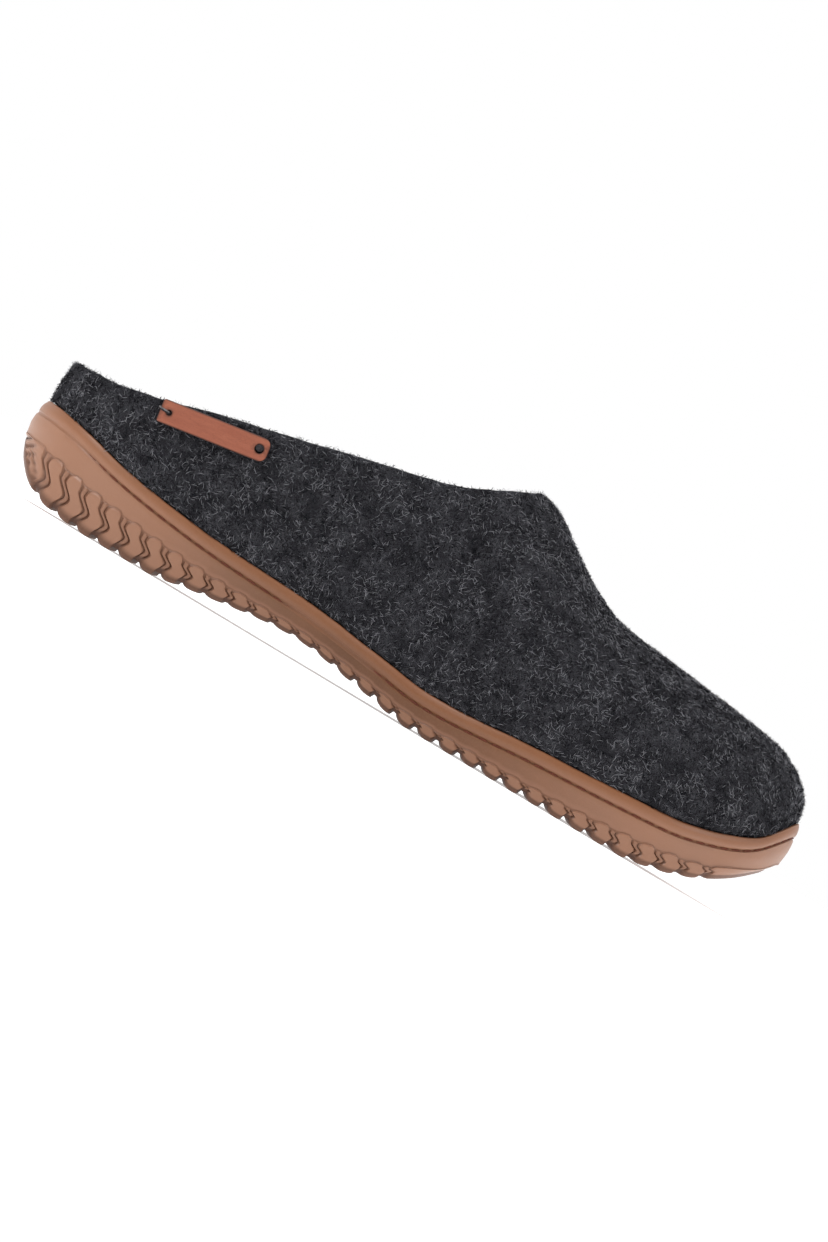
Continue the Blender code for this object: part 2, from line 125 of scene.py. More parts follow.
planMiddle = easedColumn(last["plan"], 1)
planFullness = easedColumn(last["plan"], 2)
sideNames = ("bottom", "lugTop", "rim", "floor")
sideColumns = {name: easedColumn(last["side"], k + 1) for k, name in enumerate(sideNames)}
ridgeTop = easedColumn(last["ridge"], 1)
ridgeSideways = easedColumn(last["ridge"], 2)
ridgePower = easedColumn(last["ridge"], 3)
collarRise = easedColumn(last["collar"], 1)


def shareAlong(x):
    return x / last["length"] + 0.5


def turnAt(x):
    # the place on the outline, from 0 at the heel to pi at the toe, for an x on the outer side
    return np.arccos(np.clip(1 - 2 * shareAlong(x), -1, 1))


def sideHeight(name, x):
    return last["rimHeight"] * sideColumns[name](shareAlong(x))


def outlineRaw(turn):
    along = (1 - np.cos(turn)) / 2
    y = planMiddle(along) - planFullness(along) * np.sin(turn)
    return (along - 0.5) * last["length"], y * last["ballWidth"]


sampleY = outlineRaw(np.linspace(0, 2 * math.pi, 721))[1]
axisY = (sampleY.max() + sampleY.min()) / 2


def outline(turn, inset):
    # a point of the outline, moved in square to it
    small = 0.01
    ax, ay = outlineRaw(turn + small)
    bx, by = outlineRaw(turn - small)
    size = np.hypot(ax - bx, ay - by)
    x, y = outlineRaw(turn)
    return x - inset * (ay - by) / size, y + inset * (ax - bx) / size - axisY


def gathered(along):
    heel = last["heelCap"] / last["length"] * np.clip(1 - along / last["heelZone"], 0, 1) ** 2
    toe = last["toeCap"] / last["length"] * np.clip((along - 1) / last["toeZone"] + 1, 0, 1) ** 2
    return along + heel - toe


def feltPoint(turn, lift, skin):
    # the last's surface from the rim (lift 0) to the ridge (lift pi / 2), skin metres inside
    along = (1 - np.cos(turn)) / 2
    footX, footY = outline(turn, felt["inset"] + skin)
    footZ = last["rimHeight"] * sideColumns["rim"](along) + felt["step"]
    top = gathered(along)
    topX = (top - 0.5) * last["length"]
    topY = last["ballWidth"] * ridgeSideways(top) - axisY
    topZ = last["instepHeight"] * ridgeTop(top) - skin
    power = 2 / ridgePower(top)
    inward = 1 - np.maximum(np.cos(lift), 0) ** power
    upward = np.sin(lift) ** power
    return np.stack((
        footX + (topX - footX) * inward,
        footY + (topY - footY) * inward,
        footZ + (topZ - footZ) * upward,
    ), axis=-1)


def collarHeight(x):
    rise = collarRise(shareAlong(x))
    return last["heelCollar"] + rise * (last["instepHeight"] - last["heelCollar"])


def smoothStep(low, high, value):
    t = np.clip((value - low) / (high - low), 0, 1)
    return t * t * (3 - 2 * t)


def halved(isBelow, low, high, steps):
    # the place between low and high up to which isBelow holds
    for _ in range(steps):
        middle = (low + high) / 2
        below = isBelow(middle)
        low, high = np.where(below, middle, low), np.where(below, high, middle)
    return low


def ramp(low, high, value):
    # half eased and half straight, for corners that still show
    return (smoothStep(low, high, value) + np.clip((value - low) / (high - low), 0, 1)) / 2


# Shader maths

class Wire:
    # one output socket, so that sums of masks read as Python

    def __init__(self, graph, socket):
        self.graph = graph
        self.socket = socket

    def maths(self, operation, *values):
        return self.graph.node("ShaderNodeMath", {"operation": operation}, dict(enumerate(values)))

    def __add__(self, other):
        return self.maths("ADD", self, other)

    def __radd__(self, other):
        return self.maths("ADD", other, self)

    def __sub__(self, other):
        return self.maths("SUBTRACT", self, other)

    def __rsub__(self, other):
        return self.maths("SUBTRACT", other, self)

    def __mul__(self, other):
        return self.maths("MULTIPLY", self, other)

    def __rmul__(self, other):
        return self.maths("MULTIPLY", other, self)

    def __abs__(self):
        return self.maths("ABSOLUTE", self)


class Graph:
    # a node tree, for a material or for geometry

    def __init__(self, tree):
        self.tree = tree

    def node(self, kind, settings=None, inputs=None, output=0):
        made = self.tree.nodes.new(kind)
        for key, value in (settings or {}).items():
            setattr(made, key, value)
        for key, value in (inputs or {}).items():
            if isinstance(value, Wire):
                self.tree.links.new(value.socket, made.inputs[key])
            else:
                made.inputs[key].default_value = value
        return Wire(self, made.outputs[output])

    def vector(self, operation, *values):
        return self.node("ShaderNodeVectorMath", {"operation": operation}, dict(enumerate(values)))

    def noise(self, place, scale, detail=2.0, rough=0.5, bent=0.0):
        return self.node("ShaderNodeTexNoise", inputs={
            "Vector": place, "Scale": scale, "Detail": detail, "Roughness": rough, "Distortion": bent,
        })

    def between(self, value, low, high):
        # value from low to high becomes 0 to 1, eased
        return self.node(
            "ShaderNodeMapRange", {"interpolation_type": "SMOOTHSTEP"},
            {"Value": value, "From Min": low, "From Max": high},
        )


class Surface(Graph):
    # a material with one Principled shader

    def __init__(self, name, roughness, specular=0.5):
        self.material = bpy.data.materials.new(name)
        self.material.use_nodes = True
        super().__init__(self.material.node_tree)
        self.shader = self.tree.nodes["Principled BSDF"]
        self.shader.inputs["Roughness"].default_value = roughness
        self.shader.inputs["Specular IOR Level"].default_value = specular

    def feed(self, name, value):
        self.tree.links.new(value.socket, self.shader.inputs[name])

    def place(self, turned=(0, 0, 0)):
        # object coordinates in millimetres, turned
        here = self.node("ShaderNodeTexCoord", output=3)
        return self.node(
            "ShaderNodeMapping", {"vector_type": "POINT"},
            {"Vector": here, "Rotation": turned, "Scale": (1 / mm, 1 / mm, 1 / mm)},
        )

    def mixed(self, mask, first, second):
        colors = {
            key: value if isinstance(value, Wire) else (*value, 1)
            for key, value in ((6, first), (7, second))
        }
        return self.node("ShaderNodeMix", {"data_type": "RGBA"}, {0: mask, **colors}, output=2)

    def attribute(self, name):
        return self.node("ShaderNodeAttribute", {"attribute_name": name}, output=2)

    def bump(self, height, strength, distance):
        self.feed("Normal", self.node(
            "ShaderNodeBump", inputs={"Height": height, "Strength": strength, "Distance": distance},
        ))


class Growth(Graph):
    # a geometry tree whose named inputs a modifier sets

    def __init__(self, name, inputs):
        super().__init__(bpy.data.node_groups.new(name, "GeometryNodeTree"))
        face = self.tree.interface
        face.new_socket("Geometry", in_out="OUTPUT", socket_type="NodeSocketGeometry")
        self.keys = {}
        for key, kind in (("source", "Geometry"), *inputs):
            socket = face.new_socket(key, in_out="INPUT", socket_type="NodeSocket" + kind)
            self.keys[key] = socket.identifier
        self.entry = self.tree.nodes.new("NodeGroupInput")
        self.exit = self.tree.nodes.new("NodeGroupOutput")

    def given(self, key):
        return Wire(self, self.entry.outputs[key])

    def end(self, points, instance, rotation, scale, material):
        placed = self.node("GeometryNodeInstanceOnPoints", inputs={
            "Points": points, "Instance": instance, "Rotation": rotation, "Scale": scale,
        })
        real = self.node("GeometryNodeRealizeInstances", inputs={"Geometry": placed})
        dressed = self.node("GeometryNodeSetMaterial", inputs={"Geometry": real, "Material": material})
        self.tree.links.new(dressed.socket, self.exit.inputs[0])

    def baked(self, name, sourceMesh, values):
        # runs the tree over a mesh once and keeps the plain result
        holder = linked(name, sourceMesh)
        modifier = holder.modifiers.new(name, "NODES")
        modifier.node_group = self.tree
        for key, value in values.items():
            modifier[self.keys[key]] = value
        graph = bpy.context.evaluated_depsgraph_get()
        mesh = bpy.data.meshes.new_from_object(holder.evaluated_get(graph))
        mesh.name = name
        holder.modifiers.clear()
        holder.data = mesh
        mesh.shade_smooth()
        return holder


# Meshes

def linked(name, data):
    # a new object in the scene
    made = bpy.data.objects.new(name, data)
    bpy.context.scene.collection.objects.link(made)
    return made


def mirrored(count):
    # column numbers of a closed ring, along the outer side and back along the inner one
    ring = np.concatenate((np.arange(count), np.arange(count - 2, 0, -1)))
    return ring, np.arange(len(ring)) >= count


def loftFaces(rings, size, start=0):
    # quads between rings of so many points that follow one another
    faces = []
    for first in range(start, start + (rings - 1) * size, size):
        for k in range(size):
            following = (k + 1) % size
            faces.append((first + k, first + following, first + size + following, first + size + k))
    return faces


def unlike(*corners):
    # the corners in order, each once
    return tuple(dict.fromkeys(corners))


def sheetFaces(lines):
    # faces between lines of vertex numbers, triangles where two corners are one
    faces = []
    for one, other in zip(lines, lines[1:]):
        for k in range(len(one) - 1):
            corners = unlike(one[k], other[k], other[k + 1], one[k + 1])
            if len(corners) > 2:
                faces.append(corners)
    return faces


def addLayer(mesh, name, values):
    layer = mesh.attributes.new(name, "FLOAT", "POINT")
    layer.data.foreach_set("value", np.asarray(values, np.float32))


def triangles(mesh):
    return sum(len(face.vertices) - 2 for face in mesh.polygons)


def meshPiece(name, points, faces, material, sharpAbove=60, attributes=None):
    mesh = bpy.data.meshes.new(name)
    mesh.from_pydata([tuple(point) for point in points], [], faces)
    for key, values in (attributes or {}).items():
        addLayer(mesh, key, values)
    bm = bmesh.new()
    bm.from_mesh(mesh)
    bmesh.ops.remove_doubles(bm, verts=bm.verts, dist=1e-7)
    bmesh.ops.dissolve_degenerate(bm, edges=bm.edges, dist=1e-8)
    bmesh.ops.recalc_face_normals(bm, faces=bm.faces)
    bm.to_mesh(mesh)
    bm.free()
    mesh.materials.append(material)
    mesh.shade_smooth()
    mesh.set_sharp_from_angle(angle=math.radians(sharpAbove))
    return linked(name, mesh)


def finished(piece, slot, *nodes):
    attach(piece, "root")
    if nodes:
        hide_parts(*nodes)
    return piece


# Camera, light and floor

stage = {
    "roll": 30.9,                     # degrees, toe down to the right
    "imageWidth": 828,
    "imageHeight": 1242,
    "pixelsPerMm": 3.0,               # of the photograph, at the shoe
    "cornerX": 60, "cornerY": 520,    # where level pixels start in the picture, on the floor
    "heelX": -72,                     # back of the heel, in level pixels
    "distance": 3.6,
    "sensor": 36.0,
    "floorHalf": 6.0,
    "whiteness": (0.93, 0.955),       # of the floor's darkest and lightest specks
    "roomInFront": (0.22, 0.22, 0.23),
    "roomTurn": (-0.25, 0.35),        # where the room goes from the front's light to white
    "floorGlow": 0.45,
    "aim": (0, 0, 0.03),
    # name, place, width, power
    "lamps": [
        ("keyLight", (-1.0, -0.9, 1.5), 0.5, 22.0),
        ("topLight", (0.2, 0.2, 1.7), 0.7, 9.0),
        ("toeLight", (1.4, -0.6, 0.9), 0.4, 6.0),
    ],
}


def buildStage():
    roll = math.radians(stage["roll"])
    across = stage["imageWidth"] / 2 - stage["cornerX"]
    down = stage["imageHeight"] / 2 - stage["cornerY"]
    level = across * math.cos(roll) + down * math.sin(roll)
    height = across * math.sin(roll) - down * math.cos(roll)
    size = stage["pixelsPerMm"] / mm
    target = Vector(((level - stage["heelX"]) / size + soleBox[0].x, 0, height / size))
    right = Vector((math.cos(roll), 0, math.sin(roll)))
    up = Vector((-math.sin(roll), 0, math.cos(roll)))
    back = Vector((0, -1, 0))
    data = bpy.data.cameras.new("camera")
    data.sensor_fit = "VERTICAL"
    data.sensor_height = stage["sensor"]
    data.lens = stage["sensor"] * stage["distance"] * size / stage["imageHeight"]
    camera = linked("camera", data)
    turn = Matrix((right, up, back)).transposed().to_4x4()
    camera.matrix_world = Matrix.Translation(target + back * stage["distance"]) @ turn
    bpy.context.scene.camera = camera

    paper = Surface("palePaper", 0.9, 0.2)
    paper.shader.inputs["Emission Color"].default_value = (1.0, 1.0, 1.0, 1)
    paper.shader.inputs["Emission Strength"].default_value = stage["floorGlow"]
    speck = paper.noise(paper.place(), 0.02, 3.0)
    darkest, lightest = stage["whiteness"]
    paper.feed("Base Color", paper.mixed(speck, (darkest,) * 3, (lightest,) * 3))
    half = stage["floorHalf"]
    floor = meshPiece(
        "floor", [(-half, -half, 0), (half, -half, 0), (half, half, 0), (-half, half, 0)],
        [(0, 1, 2, 3)], paper.material,
    )

    world = bpy.data.worlds.new("softRoom")
    world.use_nodes = True
    room = Graph(world.node_tree)
    direction = room.node("ShaderNodeTexCoord")
    toBack = room.node("ShaderNodeSeparateXYZ", inputs={"Vector": direction}, output=1)
    shade = room.between(toBack, *stage["roomTurn"])
    light = room.node(
        "ShaderNodeMix", {"data_type": "RGBA"},
        {0: shade, 6: (*stage["roomInFront"], 1), 7: (1.0, 1.0, 1.0, 1)}, output=2,
    )
    ground = world.node_tree.nodes["Background"]
    world.node_tree.links.new(light.socket, ground.inputs["Color"])
    bpy.context.scene.world = world
    for name, place, width, power in stage["lamps"]:
        data = bpy.data.lights.new(name, "AREA")
        data.shape = "DISK"
        data.size = width
        data.energy = power
        lamp = linked(name, data)
        lamp.location = place
        lamp.rotation_euler = (Vector(stage["aim"]) - Vector(place)).to_track_quat("-Z", "Y").to_euler()
    bpy.context.scene.view_settings.view_transform = "Standard"


buildStage()
print("camera, light and floor set")


# Rubber sole

rubber = {
    "color": (0.122, 0.050, 0.021),
    "paleColor": (0.325, 0.164, 0.101),    # towards heel and toe, a painted highlight where more light falls on the ends; also the lugs' paler tone
    "warmColor": (0.245, 0.094, 0.038),    # along the rim, a painted highlight on its upper part; also a random warm tone over the sole
    # painted shade: laid into the gaps, the groove, under the lugs' ledge, along the bottom edge, underneath
    # and inside the rim
    "paintedShadeColor": (0.070, 0.024, 0.011),
    "speckColor": (0.400, 0.220, 0.130),
    "litEndsSpan": (12.0, 118.0),             # millimetres from the middle over which the painted highlight on the ends comes in
    "paleBand": 0.55,                      # how much paler the lugs are
    "specks": 0.07,
    "roughness": 0.42,
    "rimWall": 3.0 * mm,
    "lugProud": 1.0 * mm,
    "treadDepth": 2.0 * mm,
    "edgeUp": 1.2 * mm,
    "edgeIn": 2.0 * mm,
    "seamDrop": 5.0 * mm,
    "seamDepth": 0.6 * mm,
    "seamHeight": 1.4 * mm,
    "seamLevel": 0.8,
    "bead": 0.45 * mm,
    "rimRound": 0.8 * mm,
    "pitch": 8.3 * mm,
    "firstGap": 10.4 * mm,
    "lastGapToToe": 14 * mm,
    "gapDepth": 0.85 * mm,
    "clearOfGap": 0.25 * mm,   # between a gap's columns and those of the tips
    "fadeAtHeel": (3 * mm, 10 * mm),
    "fadeAtToe": (16 * mm, 4 * mm),
    # the gaps run straight down, then to the toe and back: shares of the band's height
    "lean": 0.29,
    "foot": 0.15,
    "leanFrom": 0.26,
    "leanTo": 0.60,
    "backFrom": 0.68,
    "waves": 6,
    "waveDepth": 0.7 * mm,
    "cornerRound": 0.8 * mm,
    # one gap: offset from its middle, depth there on the side and underneath, pull of the lug's corner
    "gap": [
        (-2.20 * mm, 0.00, 0.03, -0.6), (-1.75 * mm, 0.04, 0.14, -1.0), (-1.45 * mm, 0.50, 0.55, -0.9),
        (-1.22 * mm, 0.90, 0.88, -0.6), (-0.90 * mm, 1.00, 1.00, -0.3), (-0.60 * mm, 0.40, 1.00, 0.0),
        (0.00, 0.26, 0.95, 0.0), (0.60 * mm, 0.40, 0.98, 0.0), (0.90 * mm, 1.00, 0.95, 0.3),
        (1.30 * mm, 0.85, 0.78, 0.8), (1.75 * mm, 0.06, 0.50, 1.0), (2.45 * mm, 0.00, 0.24, 0.7),
        (3.30 * mm, 0.00, 0.07, 0.3),
    ],
    # from the heel, share of the tread's depth in the notches underneath
    "treadShare": [
        (0.0, 0.55), (60 * mm, 0.85), (82 * mm, 0.42), (118 * mm, 0.42), (142 * mm, 0.95), (205 * mm, 1.00),
        (250 * mm, 0.50), (288 * mm, 0.50),
    ],
    "toeRound": 26 * mm,       # lengths of the tips whose wall bulges
    "heelRound": 16 * mm,
    "flushToe": 0.8,           # how far the lugs' ledge fades there
    "flushHeel": 0.7,
    # level (1 the rim, 0 the lug band's top, -1 the bottom), bulge at the toe and at the heel
    "bulge": [
        (-1.0, -2.2 * mm, -0.2 * mm), (-0.5, 0.0, 0.4 * mm), (0.0, 1.1 * mm, 0.9 * mm),
        (0.4, 1.6 * mm, 1.5 * mm), (0.75, 1.2 * mm, 1.2 * mm), (1.0, 0.2 * mm, 0.1 * mm),
    ],
    "toeLift": 2.8 * mm,       # the rim rises at the very tip of the toe
    "toeLiftFrom": 9 * mm,
    "lugColumns": (0.4, 0.75),
    "bandRows": 26,
    "bandFoot": 0.22,          # share of the band's height below which a gap is as deep as the notch
    "cornerFrom": 0.78,        # shares above which the lugs' corners and tops are rounded
    "crownFrom": 0.90,
    "ledge": 0.8 * mm,         # height of the rounding over the lugs
    "wave": (9 * mm, 0.18 * mm),    # length and height of the rim's unevenness
    "topDip": 0.85 * mm,       # the lug band's top edge dips at each gap
    "backRibReach": 5.8 * mm,  # from the heel's back edge, which slants in below backRibTop
    "backRibTop": 17 * mm,
    "backSlant": 0.70,
    "backRibPitch": 3.2 * mm,
    "backRibDepth": 0.85 * mm,
    "backRibShade": 0.80,
    "backRibLean": 0.60,
    "tipColumns": 14,
    "across": 36,
    "seamStart": (6 * mm, 42 * mm),
    "seamFade": (95 * mm, 112 * mm, 128 * mm, 150 * mm),
    "seamFadeTo": 0.35,
}


def rubberMaterial():
    made = Surface("gumRubber", rubber["roughness"], 0.42)
    place = made.place()
    cloud = made.noise(place, 0.05, 3.0)
    grain = made.noise(place, 1.6, 3.0, 0.6)
    rimHighlight = made.attribute("rimHighlight")
    paintedShade = made.attribute("paintedShade")
    along = made.node("ShaderNodeSeparateXYZ", inputs={"Vector": place})
    ends = made.between(abs(along), *rubber["litEndsSpan"])
    # painted highlight: the heel and the toe paler than the waist, as if more light fell on them
    base = made.mixed(ends * (0.75 + 0.5 * cloud), rubber["color"], rubber["paleColor"])
    base = made.mixed(made.between(cloud, 0.3, 0.75) * 0.25, base, rubber["warmColor"])
    # painted highlight: the rim's groove, bead and top painted lighter and warmer, as if lit from above
    base = made.mixed(rimHighlight, base, rubber["warmColor"])
    base = made.mixed(made.attribute("band") * rubber["paleBand"], base, rubber["paleColor"])
    # painted shade from the mesh's per-point values darkens the hollows, the bottom edge and the underside
    base = made.mixed(paintedShade, base, rubber["paintedShadeColor"])
    base = made.mixed(made.between(grain, 0.35, 0.75) * rubber["specks"], base, rubber["speckColor"])
    made.feed("Base Color", base)
    made.feed("Roughness", rubber["roughness"] - 0.07 + 0.16 * grain + 0.1 * paintedShade)
    made.bump(grain + made.noise(place, 0.35, 2.0) * 1.5, 0.35, 0.12 * mm)
    return made.material


def soleColumns():
    # x from the heel, the gap's depth on the side and underneath, and pull, from heel to toe
    length = last["length"]
    columns = []
    middle = rubber["firstGap"]
    gaps = []
    while middle < length - rubber["lastGapToToe"]:
        gaps.append(middle)
        middle += rubber["pitch"]
    early, edge = -rubber["gap"][0][0], rubber["gap"][-1][0]
    for middle in gaps:
        columns += [(middle + offset, *rest) for offset, *rest in rubber["gap"]]
    plain = (0.0, 0.0, 0.0)
    for middle in gaps[:-1]:
        columns += [
            (middle + edge + (rubber["pitch"] - early - edge) * part, *plain) for part in rubber["lugColumns"]
        ]
    taken = [column[0] for column in columns]
    for start, end in ((0.0, gaps[0] - early), (gaps[-1] + edge, length)):
        fromTurn, toTurn = turnAt(start + soleBox[0].x), turnAt(end + soleBox[0].x)
        for k in range(rubber["tipColumns"] + 1):
            turn = fromTurn + (toTurn - fromTurn) * k / rubber["tipColumns"]
            x = (1 - math.cos(turn)) / 2 * length
            isTip = x < 1e-6 or x > length - 1e-6
            if isTip or min(abs(x - other) for other in taken) > rubber["clearOfGap"]:
                columns.append((x, *plain))
    return np.array(sorted(columns))


bulgeAtToe = easedColumn(rubber["bulge"], 1)
bulgeAtHeel = easedColumn(rubber["bulge"], 2)


def tips(fromHeel):
    # 1 at the very tips of the toe and of the heel, 0 along the shoe
    length = last["length"]
    toe = smoothStep(length - rubber["toeRound"], length, fromHeel)
    return toe, 1 - smoothStep(0, rubber["heelRound"], fromHeel)


def wallInset(fromHeel):
    toe, heel = tips(fromHeel)
    return rubber["lugProud"] * (1 - rubber["flushToe"] * toe - rubber["flushHeel"] * heel)


def bulged(fromHeel, level):
    toe, heel = tips(fromHeel)
    return toe * bulgeAtToe(level) + heel * bulgeAtHeel(level)


def toeLifted(fromHeel, level):
    length = last["length"]
    return rubber["toeLift"] * max(level, 0) * smoothStep(length - rubber["toeLiftFrom"], length, fromHeel)


def seamStrength(fromHeel):
    # the groove is shallow round the heel and along the waist
    a, b, c, d = rubber["seamFade"]
    waist = smoothStep(a, b, fromHeel) * (1 - smoothStep(c, d, fromHeel))
    heel = 1 - smoothStep(*rubber["seamStart"], fromHeel)
    return 1 - (1 - rubber["seamFadeTo"]) * np.maximum(waist, heel)


def backRibs(fromHeel, height):
    # short grooves round the back of the heel, 1 in the middle of each
    turns = (height - rubber["backRibLean"] * fromHeel) / rubber["backRibPitch"]
    groove = (0.5 - 0.5 * np.cos(2 * math.pi * turns)) ** 2
    fromEdge = fromHeel - rubber["backSlant"] * np.maximum(rubber["backRibTop"] - height, 0)
    return groove * (1 - smoothStep(0.55 * rubber["backRibReach"], rubber["backRibReach"], fromEdge))


def buildOutsole():
    columns = soleColumns()
    count = len(columns)
    ring, isInner = mirrored(count)
    baseX, sideDepth, treadDepth, pull = columns[ring].T
    length = last["length"]
    toeFrom, toeTo = rubber["fadeAtToe"]
    atToe = smoothStep(length - toeFrom, length - toeTo, baseX)
    fade = smoothStep(*rubber["fadeAtHeel"], baseX) * (1 - atToe)

    def ringPoint(x, inset):
        turn = turnAt(x + soleBox[0].x)
        turn = np.where(isInner, 2 * math.pi - turn, turn)
        return outline(turn, inset)

    bandHeight = sideHeight("lugTop", baseX + soleBox[0].x) - sideHeight("bottom", baseX + soleBox[0].x)

    def leanedX(up):
        down = 1 - up
        lean = rubber["lean"] * ramp(rubber["leanFrom"], rubber["leanTo"], down)
        shift = lean - (rubber["lean"] - rubber["foot"]) * ramp(rubber["backFrom"], 1.0, down)
        rounded = np.clip((up - rubber["cornerFrom"]) / (1 - rubber["cornerFrom"]), 0, 1)
        corner = rubber["cornerRound"] * pull * rounded**2
        return np.clip(baseX + fade * (bandHeight * shift + corner), 0, length)

    rows, paintedShades, rimHighlights, bands = [], [], [], []

    # each row gets a share of painted shade and a share of painted highlight
    def addRow(x, inset, heightOf, paintedShade, rimHighlight=0.0, level=0.0):
        # level: 1 at the rim, 0 at the top of the lugs, -1 at the bottom
        px, py = ringPoint(x, inset - bulged(x, level))
        rows.append(np.stack((px, py, heightOf(px) + toeLifted(x, level)), axis=-1))
        paintedShades.append(np.broadcast_to(paintedShade, px.shape))
        rimHighlights.append(np.broadcast_to(rimHighlight, px.shape))
        bands.append(np.full(px.shape, 1.0 if -0.95 < level <= 0 else 0.0))

    treadShare = easedColumn(rubber["treadShare"], 1)(baseX)
    lift = rubber["treadDepth"] * treadDepth * treadShare
    # the bottom edge: painted shade, darker at the notches, where the underside turns away from the light
    for angle in np.radians((0, 30, 60)):
        addRow(
            leanedX(0.0), rubber["edgeIn"] * (1 - math.sin(angle)) + rubber["gapDepth"] * treadDepth,
            lambda x, a=angle: sideHeight("bottom", x) + lift + rubber["edgeUp"] * (1 - math.cos(a)),
            0.65 + 0.35 * treadDepth, 0.0, -1.0,
        )
    dip = rubber["topDip"] * treadDepth * np.clip(bandHeight / (8 * mm), 0.25, 1) * fade
    for row in range(rubber["bandRows"] + 1):
        up = row / rubber["bandRows"]
        risen = smoothStep(0.0, rubber["bandFoot"], up)
        depth = sideDepth + (treadDepth - sideDepth) * (1 - risen)
        crown = rubber["lugProud"] * 0.5 * max((up - rubber["crownFrom"]) / (1 - rubber["crownFrom"]), 0) ** 2
        x = leanedX(up)
        inset = np.maximum(rubber["gapDepth"] * depth, crown)
        px = ringPoint(x, inset - bulged(x, up - 1))[0]
        z = (sideHeight("bottom", px) + lift + rubber["edgeUp"]) * (1 - up)
        z = z + (sideHeight("lugTop", px) - dip) * up
        rib = backRibs(px - soleBox[0].x, z) * smoothStep(0.0, 0.2, up) * (1 - smoothStep(0.85, 1.0, up))
        # painted shade in the gaps, deepest low on the band, and in the ribs round the heel's back
        paintedShade = np.maximum(depth * (1 - 0.45 * up), 0.75 * (1 - risen))
        paintedShade = paintedShade + rubber["backRibShade"] * rib
        addRow(x, inset + rubber["backRibDepth"] * rib, lambda _, z=z: z, paintedShade, 0.0, up - 1)
    wall = wallInset(baseX)
    ledge = rubber["ledge"]
    # painted shade in the crease under the lugs' ledge
    for inset, above, dark in ((wall * 0.85, 0.10 * mm, 0.25), (wall, 0.35 * mm, 0.35), (wall, ledge, 0.0)):
        addRow(
            leanedX(1.0), inset, lambda x, above=above: sideHeight("lugTop", x) - dip + above,
            dark * wall / rubber["lugProud"],
        )
    seamLow = rubber["seamDrop"] + rubber["seamHeight"] / 2
    seamHigh = rubber["seamDrop"] - rubber["seamHeight"] / 2
    for up in (0.25, 0.5, 0.75, 1.0):
        addRow(
            baseX, wall,
            lambda x, up=up: (
                (sideHeight("lugTop", x) - dip + ledge) * (1 - up) + (sideHeight("rim", x) - seamLow) * up
            ),
            0.0, 0.0, 0.7 * up,
        )
    strength = seamStrength(baseX)
    # painted shade along the groove's middle, lighter where the groove is shallow
    for k in range(1, 8):
        angle = math.pi * k / 8
        drop = rubber["seamDrop"] + rubber["seamHeight"] / 2 * math.cos(angle)
        addRow(
            baseX, wall + rubber["seamDepth"] * math.sin(angle) ** 3.5 * strength,
            lambda x, drop=drop: sideHeight("rim", x) - drop,
            0.42 * math.sin(angle) ** 6 * strength, 0.4, rubber["seamLevel"],
        )
    # the bead and the rim's top: the painted highlight grows towards the top
    for k in range(7):
        part = k / 6
        drop = seamHigh * (1 - part) + rubber["rimRound"] * part
        addRow(
            baseX, wall - rubber["bead"] * math.sin(math.pi * (0.08 + 0.92 * part)) ** 0.7,
            lambda x, drop=drop: sideHeight("rim", x) - drop, 0.0, 0.35 + 0.5 * part, 0.85 + 0.15 * part,
        )
    for angle in np.radians((30, 60, 90)):
        addRow(
            baseX, wall + rubber["rimRound"] * (1 - math.cos(angle)),
            lambda x, a=angle: sideHeight("rim", x) - rubber["rimRound"] * (1 - math.sin(a)), 0.0, 0.9, 1.0,
        )
    addRow(baseX, rubber["rimWall"], lambda x: sideHeight("rim", x), 0.1, 0.9, 1.0)
    # inside the rim, under the felt: painted shade
    addRow(baseX, rubber["rimWall"], lambda x: sideHeight("rim", x) - 3 * mm, 0.8)
    addRow(baseX, rubber["rimWall"], lambda x: sideHeight("floor", x), 0.8)

    # a slightly uneven moulding: the rim waves by a tenth of a millimetre
    waveLength, waveHeight = rubber["wave"]
    for row in rows[-8:]:
        for k, point in enumerate(row):
            row[k, 2] += waveHeight * noise.noise(Vector(point) / waveLength)

    points = list(np.concatenate(rows))
    paintedShade = list(np.concatenate(paintedShades))
    rimHighlight = list(np.concatenate(rimHighlights))
    band = list(np.concatenate(bands))
    size = len(ring)
    faces = loftFaces(len(rows), size)

    # the tread: strips across from the outer edge to the inner one, in a wave
    bottomRow = rows[0]
    lines = [[0] * (rubber["across"] + 1)]
    for j in range(1, count - 1):
        outer, inner = bottomRow[j], bottomRow[len(ring) - j]
        line = [j]
        for k in range(1, rubber["across"]):
            part = k / rubber["across"]
            window = min(1.0, min(part, 1 - part) * rubber["waves"])
            bend = -math.cos(math.pi * rubber["waves"] * part) * window * rubber["waveDepth"] * fade[j]
            x = outer[0] + (inner[0] - outer[0]) * part + bend
            y = outer[1] + (inner[1] - outer[1]) * part
            line.append(len(points))
            points.append((x, y, float(sideHeight("bottom", x)) + lift[j]))
            # painted shade underneath, darkest in the notches
            paintedShade.append(0.3 + 0.7 * treadDepth[j])
            rimHighlight.append(0.0)
            band.append(0.0)
        line.append(len(ring) - j)
        lines.append(line)
    lines.append([count - 1] * (rubber["across"] + 1))
    faces += sheetFaces(lines)
    # the floor of the cup
    start = (len(rows) - 1) * size
    for j in range(count - 1):
        across = size - j
        faces.append(unlike(start + j, start + j + 1, start + (across - 1) % size, start + across % size))
    piece = meshPiece("gumSole", points, faces, rubberMaterial(), 42, {
        "paintedShade": paintedShade, "rimHighlight": rimHighlight, "band": band,
    })
    print("sole:", len(piece.data.polygons), "faces")
    return finished(piece, "gum_rubber", "outsole")


